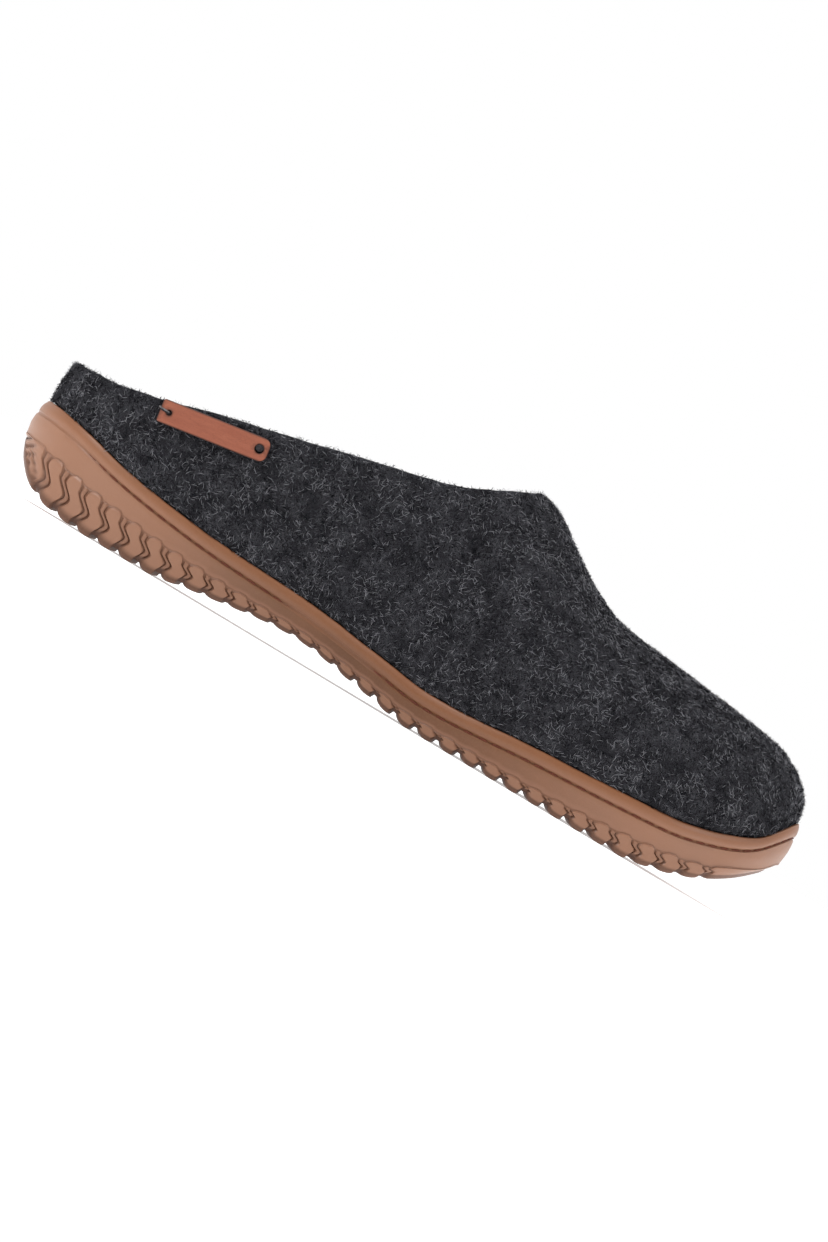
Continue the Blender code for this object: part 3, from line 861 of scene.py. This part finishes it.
felt = {
    "dark": (0.0046, 0.0045, 0.0062),
    "middle": (0.0140, 0.0138, 0.0168),
    "light": (0.125, 0.125, 0.138),
    "fibreStretch": (0.32, 2.6, 2.6),
    "inset": 1.0 * mm,
    "step": 1.0 * mm,
    "wall": 4.5 * mm,
    "clearance": 0.3 * mm,
    "collarBulge": 1.7 * mm,
    "collarDrop": 0.7 * mm,     # room for the fuzz on the edge
    "heelDrop": 1.2 * mm,
    "heelDropTo": 26 * mm,
    "throatRise": 1.4 * mm,
    "tipBulge": 0.45,           # share of the bulge at the very tip of the throat
    "tipReach": 9 * mm,
    "overRim": ((3.3 * mm, 0.3 * mm), (2.2 * mm, 0.34 * mm), (1.35 * mm, 0.55 * mm)),
    "rows": 66,
    "innerRows": 22,
    "rollRows": 9,
    "furOnEdge": 0.6,
    "furInside": 0.12,
    "collarColumns": 170,
    "toeColumns": 150,
    "lumps": ((13 * mm, 0.42 * mm), (5 * mm, 0.26 * mm), (2.2 * mm, 0.16 * mm)),
}


def feltMaterial(name, shade=1.0):
    made = Surface(name, 0.95, 0.03)
    place = made.place()
    swirl = {"Vector": place, "Scale": 0.45, "Detail": 2.0}
    bentBy = made.node("ShaderNodeTexNoise", inputs=swirl, output=1)
    bent = made.vector("MULTIPLY_ADD", bentBy, (2.4, 2.4, 2.4), place)
    fibres = None
    turns = ((0.3, 0.2, 0.5), (1.1, 0.7, 2.0), (2.2, 0.1, 1.2), (0.7, 1.9, 2.9), (1.7, 1.2, 0.2))
    for turned in turns:
        mapped = made.node("ShaderNodeMapping", inputs={"Vector": bent, "Rotation": turned})
        streak = made.noise(made.vector("MULTIPLY", mapped, felt["fibreStretch"]), 1.0, 1.0, 0.5)
        line = 1 - made.between(abs(streak - 0.5), 0.0, 0.035)
        fibres = line if fibres is None else line.maths("MAXIMUM", fibres, line)
    patch = made.between(made.noise(place, 0.16, 3.0, 0.6), 0.36, 0.68)
    clump = made.noise(place, 0.75, 3.0, 0.65)
    base = made.mixed(made.between(clump, 0.32, 0.7), felt["dark"], felt["middle"])
    base = made.mixed(patch * 0.45, base, [c * 1.35 for c in felt["middle"]])
    base = made.mixed(fibres * (0.38 + 0.45 * patch), base, felt["light"])
    if shade != 1.0:
        base = made.mixed(0.5, base, [c * shade for c in felt["light"]])
    made.feed("Base Color", base)
    made.bump(fibres * 0.6 + clump * 1.6, 0.9, 0.35 * mm)
    return made.material


def edgeHeight(x):
    # height of the collar's cut, under its rounded edge
    nearHeel = 1 - smoothStep(0, felt["heelDropTo"], x - soleBox[0].x)
    nearThroat = smoothStep(last["throat"] - 0.12, last["throat"] - 0.02, shareAlong(x))
    drop = felt["collarBulge"] + felt["collarDrop"] + felt["heelDrop"] * nearHeel
    return collarHeight(x) - (drop - felt["throatRise"] * nearThroat)


def throatTurn():
    # where the ridge meets the collar's cut
    def aboveCut(along):
        return last["instepHeight"] * ridgeTop(along) > edgeHeight((along - 0.5) * last["length"])

    return math.acos(1 - 2 * halved(aboveCut, 0.48, last["throat"] + 0.06, 40))


def collarLift(turn):
    # how far up a rib the collar cuts it
    def underCut(lift):
        point = feltPoint(turn, lift, 0.0)
        return point[:, 2] < edgeHeight(point[:, 0])

    return halved(underCut, np.zeros_like(turn), np.full_like(turn, math.pi / 2), 40)


def buildUpper():
    atThroat = throatTurn()
    u = np.linspace(0, 1, felt["collarColumns"] + 1)
    back = atThroat * (1 - (1 - u) ** 1.8)
    front = atThroat + (math.pi - atThroat) * np.linspace(0, 1, felt["toeColumns"] + 1)[1:] ** 1.3
    turns = np.concatenate((back, front))
    atTip = len(back) - 1
    ring, isInner = mirrored(len(turns))
    turn = np.where(isInner, 2 * math.pi - turns[ring], turns[ring])
    ends = np.concatenate((collarLift(back), np.full(len(front), math.pi / 2)))
    ends[atTip] = math.pi / 2
    liftEnd = ends[ring]
    size = len(ring)

    outerRows = []
    floorX, floorY = outline(turn, rubber["rimWall"] + felt["clearance"])
    floorZ = sideHeight("floor", floorX) + felt["clearance"]
    outerRows.append(np.stack((floorX, floorY, floorZ), axis=-1))
    for inset, above in felt["overRim"]:
        x, y = outline(turn, inset)
        outerRows.append(np.stack((x, y, sideHeight("rim", x) + above), axis=-1))
    for row in range(felt["rows"] + 1):
        part = row / felt["rows"]
        outerRows.append(feltPoint(turn, liftEnd * part, 0.0))
    innerRows = []
    for row in range(felt["innerRows"], -1, -1):
        part = row / felt["innerRows"]
        innerRows.append(feltPoint(turn, liftEnd * part, felt["wall"]))
    innerX, innerY = outline(turn, rubber["rimWall"] + felt["clearance"] + felt["wall"])
    innerRows.append(np.stack((innerX, innerY, sideHeight("floor", innerX) + felt["clearance"]), axis=-1))

    # the rounded edge of the collar, along the loop from the heel over the throat and back
    loop = np.array([j for j in range(atTip + 1)] + [size - j for j in range(atTip - 1, 0, -1)])
    outerEdge, innerEdge = outerRows[-1][loop], innerRows[0][loop]
    middle, half = (outerEdge + innerEdge) / 2, (outerEdge - innerEdge) / 2
    along = np.roll(middle, -1, axis=0) - np.roll(middle, 1, axis=0)
    away = np.cross(half, along)
    away /= np.linalg.norm(away, axis=1, keepdims=True)
    toTip = np.abs(middle[:, :1] - middle[atTip, 0])
    full = smoothStep(0, felt["tipReach"], toTip)
    bulge = felt["collarBulge"] * (felt["tipBulge"] + (1 - felt["tipBulge"]) * full)
    rollRows = []
    for k in range(1, felt["rollRows"] + 1):
        angle = math.pi * k / (felt["rollRows"] + 1)
        points = np.full((size, 3), np.nan)
        edge = middle + half * math.cos(angle) + away * bulge * math.sin(angle) ** 0.8
        points[loop] = edge
        points[size - atTip] = edge[atTip]
        rollRows.append(points)

    rows = outerRows + rollRows + innerRows
    firstRoll, firstInner = len(outerRows), len(outerRows) + len(rollRows)

    def furred(row):
        # share of the full fur: none under the rim, less on the collar's edge, little inside
        if row < 3:
            return 0.0
        if row < firstRoll - 2:
            return 1.0
        return felt["furOnEdge"] if row < firstInner + 4 else felt["furInside"]

    points, index, outside = [], np.full((len(rows), size), -1), []
    for r, row in enumerate(rows):
        for j in range(size):
            if not math.isnan(row[j][0]):
                index[r, j] = len(points)
                points.append(tuple(row[j]))
                outside.append(furred(r))
    faces = []
    for r in range(len(rows) - 1):
        for j in range(size):
            k = (j + 1) % size
            corners = (index[r, j], index[r, k], index[r + 1, k], index[r + 1, j])
            if min(corners) >= 0 and not (r + 1 == firstInner and r < firstRoll):
                faces.append(tuple(int(c) for c in corners))
    for j in range(size):
        k = (j + 1) % size
        faces.append((int(index[-1, j]), int(index[-1, k]), int(index[0, k]), int(index[0, j])))
    piece = meshPiece("woolUpper", points, faces, feltMaterial("woolFelt"), 60, {"outside": outside})

    # felt is never quite even
    mesh = piece.data
    shown = np.zeros(len(mesh.vertices), np.float32)
    mesh.attributes["outside"].data.foreach_get("value", shown)
    normals = [vertex.normal.copy() for vertex in mesh.vertices]
    for k, vertex in enumerate(mesh.vertices):
        push = 0.0
        for width, height in felt["lumps"]:
            push += height * noise.noise(vertex.co / width + Vector((3.1, 7.7, width * 900)))
        vertex.co += normals[k] * push * float(shown[k])
    mesh.update()
    print("upper:", len(mesh.polygons), "faces")
    return finished(piece, "wool_felt", "upper")


sock = {
    "thickness": 4.0 * mm,
    # inset and share of the thickness, from the bottom's edge to the top's
    "edge": ((0.5 * mm, 0.0), (0.0, 0.12), (0.0, 0.75), (0.4 * mm, 0.92), (1.2 * mm, 1.0)),
    "columns": 240,
    "across": 40,
    "dish": 0.5 * mm,
    "lump": (6 * mm, 0.22 * mm),    # length and height
    "shade": 0.8,
}


def buildInsole():
    low, thick = felt["clearance"], sock["thickness"]
    lumpLength, lumpHeight = sock["lump"]
    inset = rubber["rimWall"] + felt["wall"] + 2 * felt["clearance"]
    turns = np.linspace(0, 2 * math.pi, sock["columns"] + 1)[:-1]
    rows = []
    for moreIn, up in sock["edge"]:
        x, y = outline(turns, inset + moreIn)
        rows.append(np.stack((x, y, sideHeight("floor", x) + low + thick * up), axis=-1))
    size = len(turns)
    points = list(np.concatenate(rows))
    faces = loftFaces(len(rows), size)
    half = size // 2
    for level, across, base in ((rows[-1], sock["across"], (len(rows) - 1) * size), (rows[0], 1, 0)):
        lines = []
        for j in range(half + 1):
            outer, inner = level[j], level[-j % size]
            if j in (0, half):
                lines.append([base + j] * (across + 1))
                continue
            line = [base + j]
            for k in range(1, across):
                part = k / across
                point = outer + (inner - outer) * part
                dish = sock["dish"] * math.sin(math.pi * part)
                lump = lumpHeight * noise.noise(Vector(point) / lumpLength)
                top = float(sideHeight("floor", point[0])) + low + thick
                line.append(len(points))
                points.append((point[0], point[1], top - dish + lump))
            line.append(base + (size - j))
            lines.append(line)
        faces += sheetFaces(lines)
    piece = meshPiece("feltSock", points, faces, feltMaterial("sockFelt", sock["shade"]), 60)
    print("insole:", len(piece.data.polygons), "faces")
    return finished(piece, "sock_felt", "insole")


# Hairs and fuzz on the felt

hair = {
    # name, colour, fibres a square metre, length, radius, bend and rise as shares, rings, patch, seed
    "kinds": [
        ("paleHair", (0.350, 0.350, 0.375), 440e3, 2.4 * mm, 0.050 * mm, 0.10, 0.10, 2, 8.5 * mm, 3),
        ("greyHair", (0.150, 0.150, 0.166), 510e3, 1.8 * mm, 0.060 * mm, -0.12, 0.13, 2, 5.5 * mm, 11),
        ("greyFuzz", (0.052, 0.052, 0.060), 680e3, 1.15 * mm, 0.050 * mm, 0.20, 0.85, 1, 3.0 * mm, 17),
        ("darkFuzz", (0.006, 0.006, 0.008), 800e3, 1.5 * mm, 0.130 * mm, -0.2, 0.30, 1, 3.5 * mm, 23),
    ],
    "sunk": 0.12 * mm,
    "smallest": 0.55,
    "largest": 1.35,
    "tilt": 0.22,
    "patchSpan": (0.43, 0.60),
    "least": 0.10,             # share of the density between the patches, and what a patch adds
    "inPatches": 1.48,
}


def spindle(name, length, radius, bend, rise, rings):
    # one closed fibre, pointed at both ends, that starts just under the surface
    def along(t):
        return Vector((length * t, bend * length * math.sin(math.pi * t), rise * length * t - hair["sunk"]))

    points, faces = [along(0)], []
    for k in range(1, rings + 1):
        t = k / (rings + 1)
        for corner in range(3):
            angle = 2 * math.pi * corner / 3
            points.append(along(t) + Vector((0, math.cos(angle), math.sin(angle))) * radius)
    points.append(along(1))
    faces += [(0, 1 + (c + 1) % 3, 1 + c) for c in range(3)]
    for k in range(rings - 1):
        a, b = 1 + 3 * k, 4 + 3 * k
        faces += [(a + c, a + (c + 1) % 3, b + (c + 1) % 3, b + c) for c in range(3)]
    a, tip = 1 + 3 * (rings - 1), len(points) - 1
    faces += [(a + c, a + (c + 1) % 3, tip) for c in range(3)]
    mesh = bpy.data.meshes.new(name)
    mesh.from_pydata([tuple(point) for point in points], [], faces)
    return bpy.data.objects.new(name, mesh)


def hairTree():
    tree = Growth("feltHair", [
        ("fibre", "Object"), ("density", "Float"), ("patch", "Float"), ("seed", "Int"),
        ("material", "Material"), ("smallest", "Float"), ("largest", "Float"), ("tilt", "Float"),
    ])
    here = tree.node("GeometryNodeInputPosition")
    perMetre = here.maths("DIVIDE", 1.0, tree.given("patch"))
    patches = tree.between(tree.noise(here, perMetre, 3.0, 0.6), *hair["patchSpan"])
    outside = tree.node("GeometryNodeInputNamedAttribute", {"data_type": "FLOAT"}, {"Name": "outside"})
    scatter = {"Mesh": tree.given("source"), "Seed": tree.given("seed")}
    scatter["Density"] = tree.given("density") * outside * (hair["least"] + hair["inPatches"] * patches)
    points = tree.node("GeometryNodeDistributePointsOnFaces", inputs=scatter)
    upright = Wire(tree, points.socket.node.outputs["Rotation"])
    turned = tree.node("FunctionNodeRandomValue", {"data_type": "FLOAT_VECTOR"}, {
        0: tree.node("ShaderNodeCombineXYZ", inputs={0: 0.0, 1: tree.given("tilt") * -1.0, 2: 0.0}),
        1: tree.node("ShaderNodeCombineXYZ", inputs={0: 0.0, 1: tree.given("tilt") * 0.2, 2: 0.0}),
        "Seed": tree.given("seed") + 1,
    })
    spun = tree.node("FunctionNodeRandomValue", {"data_type": "FLOAT_VECTOR"}, {
        0: (0.0, 0.0, 0.0), 1: (0.0, 0.0, 2 * math.pi), "Seed": tree.given("seed") + 2,
    })
    rotation = upright
    for euler in (spun, turned):
        rotation = tree.node("FunctionNodeRotateRotation", {"rotation_space": "LOCAL"}, {
            "Rotation": rotation, "Rotate By": tree.node("FunctionNodeEulerToRotation", inputs={0: euler}),
        })
    scale = tree.node("FunctionNodeRandomValue", {"data_type": "FLOAT"}, {
        2: tree.given("smallest"), 3: tree.given("largest"), "Seed": tree.given("seed") + 3,
    }, output=1)
    fibre = tree.node("GeometryNodeObjectInfo", inputs={"Object": tree.given("fibre")})
    fibre = Wire(tree, fibre.socket.node.outputs["Geometry"])
    tree.end(points, fibre, rotation, scale, tree.given("material"))
    return tree


def growHair(source):
    tree = hairTree()
    for name, color, density, length, radius, bend, rise, rings, patch, seed in hair["kinds"]:
        surface = Surface(name, 0.85, 0.04)
        surface.shader.inputs["Base Color"].default_value = (*color, 1)
        fibre = spindle(name + "Fibre", length, radius, bend, rise, rings)
        piece = tree.baked(name, source.data, {
            "fibre": fibre, "density": density, "patch": patch, "seed": seed, "material": surface.material,
            "smallest": hair["smallest"], "largest": hair["largest"], "tilt": hair["tilt"],
        })
        bpy.data.objects.remove(fibre)
        print(name, triangles(piece.data), "triangles")
        finished(piece, "wool_felt")


# Leather tag and its threads

tag = {
    "color": (0.290, 0.082, 0.042),
    "streakColor": (0.400, 0.128, 0.068),
    "edgeColor": (0.075, 0.022, 0.012),
    "roughness": 0.48,
    "length": 38.5 * mm,
    "width": 8.0 * mm,
    "thickness": 1.6 * mm,
    "fromHeel": 34.5 * mm,
    "drop": 7.2 * mm,
    "tilt": math.radians(9.1),
    "corner": 2.8 * mm,
    "cornerBack": 0.9 * mm,
    "frontHole": 3.0 * mm,
    "backHole": 1.8 * mm,
    "holeMargin": 3.2 * mm,
    "bevel": 0.35 * mm,
    "slice": 1.6 * mm,
    "worn": (0.05 * mm, 0.62 * mm),    # from the edge, over which its dark fades
    "threadRadius": 0.24 * mm,
    "darkThread": (0.030, 0.026, 0.028),
    "paleThread": (0.150, 0.145, 0.145),
}


def tagToSide(along, across):
    x = soleBox[0].x + tag["fromHeel"] + tag["length"] / 2
    z = collarHeight(x) - tag["drop"]
    turned = tag["tilt"]
    return (
        x + along * math.cos(turned) - across * math.sin(turned),
        z + along * math.sin(turned) + across * math.cos(turned),
    )


def onFelt(along, across, above):
    # points of the tag's own length and width, laid on the felt and raised by above
    x, z = tagToSide(np.asarray(along, float), np.asarray(across, float))
    above = np.asarray(above, float)
    guess = x.copy()
    for _ in range(12):
        turn = turnAt(guess)
        lift = halved(
            lambda middle: feltPoint(turn, middle, -above)[:, 2] < z,
            np.zeros_like(x), np.full_like(x, math.pi / 2), 26,
        )
        point = feltPoint(turn, lift, -above)
        guess = guess + x - point[:, 0]
    return point


def closedSpline(curve, points):
    spline = curve.splines.new("POLY")
    spline.points.add(len(points) - 1)
    for slot, (x, y) in zip(spline.points, points):
        slot.co = (x, y, 0, 1)
    spline.use_cyclic_u = True


def buildTag():
    halfLength, halfWidth, bevel = tag["length"] / 2, tag["width"] / 2, tag["bevel"]
    corners = [
        (halfLength, halfWidth, tag["corner"], 0), (-halfLength, halfWidth, tag["cornerBack"], 90),
        (-halfLength, -halfWidth, tag["cornerBack"], 180), (halfLength, -halfWidth, tag["corner"], 270),
    ]
    rim = []
    for x, y, radius, start in corners:
        for step in range(9):
            angle = math.radians(start + 90 * step / 8)
            reach = radius - bevel
            rim.append((
                x - math.copysign(radius, x) + reach * math.cos(angle),
                y - math.copysign(radius, y) + reach * math.sin(angle),
            ))
    curve = bpy.data.curves.new("tagOutline", "CURVE")
    curve.dimensions = "2D"
    curve.fill_mode = "BOTH"
    curve.extrude = tag["thickness"] / 2 - bevel
    curve.bevel_depth = bevel
    curve.bevel_resolution = 3
    closedSpline(curve, rim)
    fromMiddle = halfLength - tag["holeMargin"]
    holes = ((fromMiddle, tag["frontHole"]), (-fromMiddle, tag["backHole"]))
    for middle, width in holes:
        turns = [-2 * math.pi * k / 24 for k in range(24)]
        closedSpline(curve, [
            (middle + (width / 2 + bevel) * math.cos(t), (width / 2 + bevel) * math.sin(t)) for t in turns
        ])
    holder = linked("tagOutline", curve)
    mesh = bpy.data.meshes.new_from_object(holder.evaluated_get(bpy.context.evaluated_depsgraph_get()))
    bpy.data.objects.remove(holder)
    bm = bmesh.new()
    bm.from_mesh(mesh)
    bmesh.ops.remove_doubles(bm, verts=bm.verts, dist=1e-7)
    steps = int(tag["length"] / tag["slice"])
    slices = [((-halfLength + tag["length"] * k / steps, 0, 0), (1, 0, 0)) for k in range(1, steps)]
    slices += [((0, -halfWidth + tag["width"] * k / 4, 0), (0, 1, 0)) for k in range(1, 4)]
    for place, direction in slices:
        everything = list(bm.verts) + list(bm.edges) + list(bm.faces)
        bmesh.ops.bisect_plane(bm, geom=everything, plane_co=place, plane_no=direction)
    bmesh.ops.recalc_face_normals(bm, faces=bm.faces)
    flat = np.array([vertex.co for vertex in bm.verts])
    edge = np.minimum(halfLength - np.abs(flat[:, 0]), halfWidth - np.abs(flat[:, 1]))
    for middle, width in holes:
        edge = np.minimum(edge, np.hypot(flat[:, 0] - middle, flat[:, 1]) - width / 2)
    worn = 1 - smoothStep(*tag["worn"], edge)
    above = felt["clearance"] + flat[:, 2] + tag["thickness"] / 2
    for vertex, point in zip(bm.verts, onFelt(flat[:, 0], flat[:, 1], above)):
        vertex.co = Vector(point)
    bm.to_mesh(mesh)
    bm.free()
    addLayer(mesh, "worn", worn)
    made = Surface("tanLeather", tag["roughness"], 0.4)
    place = made.place((0, tag["tilt"], 0))
    streak = made.noise(made.vector("MULTIPLY", place, (0.16, 0.9, 0.9)), 0.6, 4.0, 0.6, 0.3)
    toEdge = {"feature": "DISTANCE_TO_EDGE"}
    cells = made.node("ShaderNodeTexVoronoi", toEdge, {"Vector": place, "Scale": 2.6})
    grain = made.between(cells, 0.0, 0.16)
    base = made.mixed(made.between(streak, 0.30, 0.80) * 0.6, tag["color"], tag["streakColor"])
    base = made.mixed((1 - grain) * 0.28, base, tag["edgeColor"])
    base = made.mixed(made.attribute("worn"), base, tag["edgeColor"])
    made.feed("Base Color", base)
    made.feed("Roughness", 0.42 + 0.2 * streak)
    made.bump(grain * 0.5 + made.noise(place, 0.9, 3.0) * 1.2, 0.5, 0.12 * mm)
    mesh.materials.clear()
    mesh.materials.append(made.material)
    mesh.shade_smooth()
    mesh.set_sharp_from_angle(angle=math.radians(60))
    piece = linked("leatherTag", mesh)
    print("tag:", len(mesh.polygons), "faces")
    return finished(piece, "tan_leather", "tag")


def tube(name, path, radius, material, sides=10, twist=0.0):
    # a closed round thread through a path's points, two-ply where it is twisted
    path = np.array(path)
    tangents = np.gradient(path, axis=0)
    tangents /= np.linalg.norm(tangents, axis=1, keepdims=True)
    across = np.cross(tangents[0], (0.0, 0.0, 1.0))
    if np.linalg.norm(across) < 0.1:
        across = np.cross(tangents[0], (1.0, 0.0, 0.0))
    travelled = np.concatenate(([0], np.cumsum(np.linalg.norm(np.diff(path, axis=0), axis=1))))
    points = [tuple(path[0])]
    for k, (point, tangent) in enumerate(zip(path, tangents)):
        across = across - tangent * across.dot(tangent)
        across /= np.linalg.norm(across)
        other = np.cross(tangent, across)
        for side in range(sides):
            angle = 2 * math.pi * side / sides
            ply = 1 + 0.18 * math.cos(2 * angle + twist * travelled[k] / radius)
            outwards = across * math.cos(angle) + other * math.sin(angle)
            points.append(tuple(point + radius * ply * outwards))
    points.append(tuple(path[-1]))
    faces = [(0, 1 + (side + 1) % sides, 1 + side) for side in range(sides)]
    faces += loftFaces(len(path), sides, 1)
    a, end = 1 + (len(path) - 1) * sides, len(points) - 1
    faces += [(a + side, a + (side + 1) % sides, end) for side in range(sides)]
    return meshPiece(name, points, faces, material)


def threadMaterial(name, color):
    made = Surface(name, 0.8, 0.25)
    place = made.place()
    mottle = made.between(made.noise(place, 2.5, 2.0), 0.3, 0.7)
    made.feed("Base Color", made.mixed(mottle, [c * 0.7 for c in color], [c * 1.25 for c in color]))
    made.bump(made.noise(place, 5.0, 2.0), 0.5, 0.06 * mm)
    return made.material


def buildThreads():
    dark = threadMaterial("darkThread", tag["darkThread"])
    pale = threadMaterial("paleThread", tag["paleThread"])
    radius = tag["threadRadius"]
    face = felt["clearance"] + tag["thickness"]
    front = tag["length"] / 2 - tag["holeMargin"]
    back = -front

    def laid(stops, count):
        # eased path through (along, across, above) stops on the felt
        stops = np.array(stops)
        places = np.linspace(0, len(stops) - 1, count)
        smooth = []
        for place in places:
            i = min(int(place), len(stops) - 2)
            before, after = stops[max(i - 1, 0)], stops[min(i + 2, len(stops) - 1)]
            t = place - i
            a, b = stops[i], stops[i + 1]
            smooth.append(0.5 * (
                2 * a + (b - before) * t + (2 * before - 5 * a + 4 * b - after) * t**2
                + (3 * a - before - 3 * b + after) * t**3
            ))
        smooth = np.array(smooth)
        return onFelt(smooth[:, 0], smooth[:, 1], smooth[:, 2])

    def thread(name, path, thickness, material, twist):
        finished(tube(name, path, thickness, material, 10, twist), "wool_felt")

    # the knot: a few turns of thread that fill the front hole and sit just above the leather
    knot = []
    for k in range(81):
        angle = 2 * math.pi * k / 16
        reach = tag["frontHole"] * 0.33 * (1 - 0.9 * k / 80) * (1 + 0.25 * math.sin(angle * 0.7))
        knot.append((
            front + 0.1 * mm + reach * math.cos(angle), 0.8 * reach * math.sin(angle) + 0.15 * mm,
            face - 0.3 * mm + 0.75 * mm * k / 80 + 0.15 * mm * math.sin(angle * 1.3),
        ))
    thread("frontKnot", laid(knot, 200), radius * 1.45, dark, 0.5)
    stitch = [
        (back, 0.15 * mm, -0.4 * mm), (back - 0.1 * mm, 0.15 * mm, face - 0.5 * mm),
        (back - 0.9 * mm, 0.35 * mm, face + 0.12 * mm), (back - 2.2 * mm, 0.6 * mm, face + 0.16 * mm),
        (back - 3.25 * mm, 0.8 * mm, face - 0.1 * mm), (back - 3.75 * mm, 0.9 * mm, 0.5 * mm),
        (back - 3.9 * mm, 0.9 * mm, -0.8 * mm),
    ]
    thread("backStitchPale", laid(stitch, 60), radius, pale, 0.6)
    other = [(a, b - 0.5 * mm, c) for a, b, c in stitch]
    thread("backStitchDark", laid(other, 60), radius, dark, 0.6)
    plug = []
    for k in range(41):
        angle = 2 * math.pi * k / 20
        reach = tag["backHole"] * 0.2
        plug.append((back + reach * math.cos(angle), reach * math.sin(angle), face * (0.2 + 0.55 * k / 40)))
    thread("backKnot", laid(plug, 80), radius * 1.15, dark, 0.5)
    print("threads on the tag made")


# Stitches in the sole's groove

seam = {
    "color": (0.150, 0.045, 0.028),
    "pitch": 5.2 * mm,
    "length": 3.8 * mm,
    "radius": 0.26 * mm,
    "taper": 0.8 * mm,     # length of a stitch's thin ends
    "sunk": 0.36 * mm,     # middle of the thread, in from the wall
    "more": 0.55 * mm,     # deeper where the groove fades
}


def seamLength(path):
    return float(np.linalg.norm(np.diff(np.vstack((path, path[:1])), axis=0), axis=1).sum())


def buildSeam():
    turns = np.linspace(0, 2 * math.pi, 721)[:-1]
    x = outline(turns, 0)[0]
    fromHeel = x - soleBox[0].x
    deeper = seam["sunk"] + seam["more"] * (1 - seamStrength(fromHeel))
    level = rubber["seamLevel"]
    px, py = outline(turns, wallInset(fromHeel) - bulged(fromHeel, level) + deeper)
    height = sideHeight("rim", px) - rubber["seamDrop"] + toeLifted(fromHeel, level)
    path = np.stack((px, py, height), axis=-1)
    line = bpy.data.meshes.new("seamLine")
    count = len(path)
    line.from_pydata([tuple(p) for p in path], [(k, (k + 1) % count) for k in range(count)], [])

    stitchPath = [(seam["length"] * (t - 0.5), 0.0, 0.0) for t in np.linspace(0, 1, 9)]
    material = threadMaterial("seamThread", seam["color"])
    stitch = tube("stitch", stitchPath, seam["radius"], material, 8, 0.35)
    for vertex in stitch.data.vertices:
        tip = min(1.0, (seam["length"] / 2 - abs(vertex.co.x)) / seam["taper"])
        thin = 0.35 + 0.65 * math.sqrt(max(tip, 0.0))
        vertex.co.y *= thin
        vertex.co.z *= thin
    tree = Growth("seamStitches", [("stitch", "Object"), ("count", "Int"), ("material", "Material")])
    curve = tree.node("GeometryNodeMeshToCurve", inputs={"Mesh": tree.given("source")})
    points = tree.node("GeometryNodeResampleCurve", inputs={"Curve": curve, "Count": tree.given("count")})
    tangent = tree.node("GeometryNodeInputTangent")
    rotation = tree.node("FunctionNodeAlignRotationToVector", {"axis": "X"}, {"Vector": tangent})
    info = tree.node("GeometryNodeObjectInfo", inputs={"Object": tree.given("stitch")})
    info = Wire(tree, info.socket.node.outputs["Geometry"])
    tree.end(points, info, rotation, (1.0, 1.0, 1.0), tree.given("material"))
    piece = tree.baked("seamStitches", line, {
        "stitch": stitch, "count": round(seamLength(path) / seam["pitch"]), "material": material,
    })
    bpy.data.objects.remove(stitch)
    print("seam:", len(piece.data.polygons), "faces")
    return finished(piece, "gum_rubber")


buildOutsole()
upper = buildUpper()
buildInsole()
buildTag()
buildThreads()
buildSeam()
growHair(upper)
shown = [item for item in bpy.context.scene.objects if item.type == "MESH" and item.name != "floor"]
print("triangles in all:", sum(triangles(item.data) for item in shown))
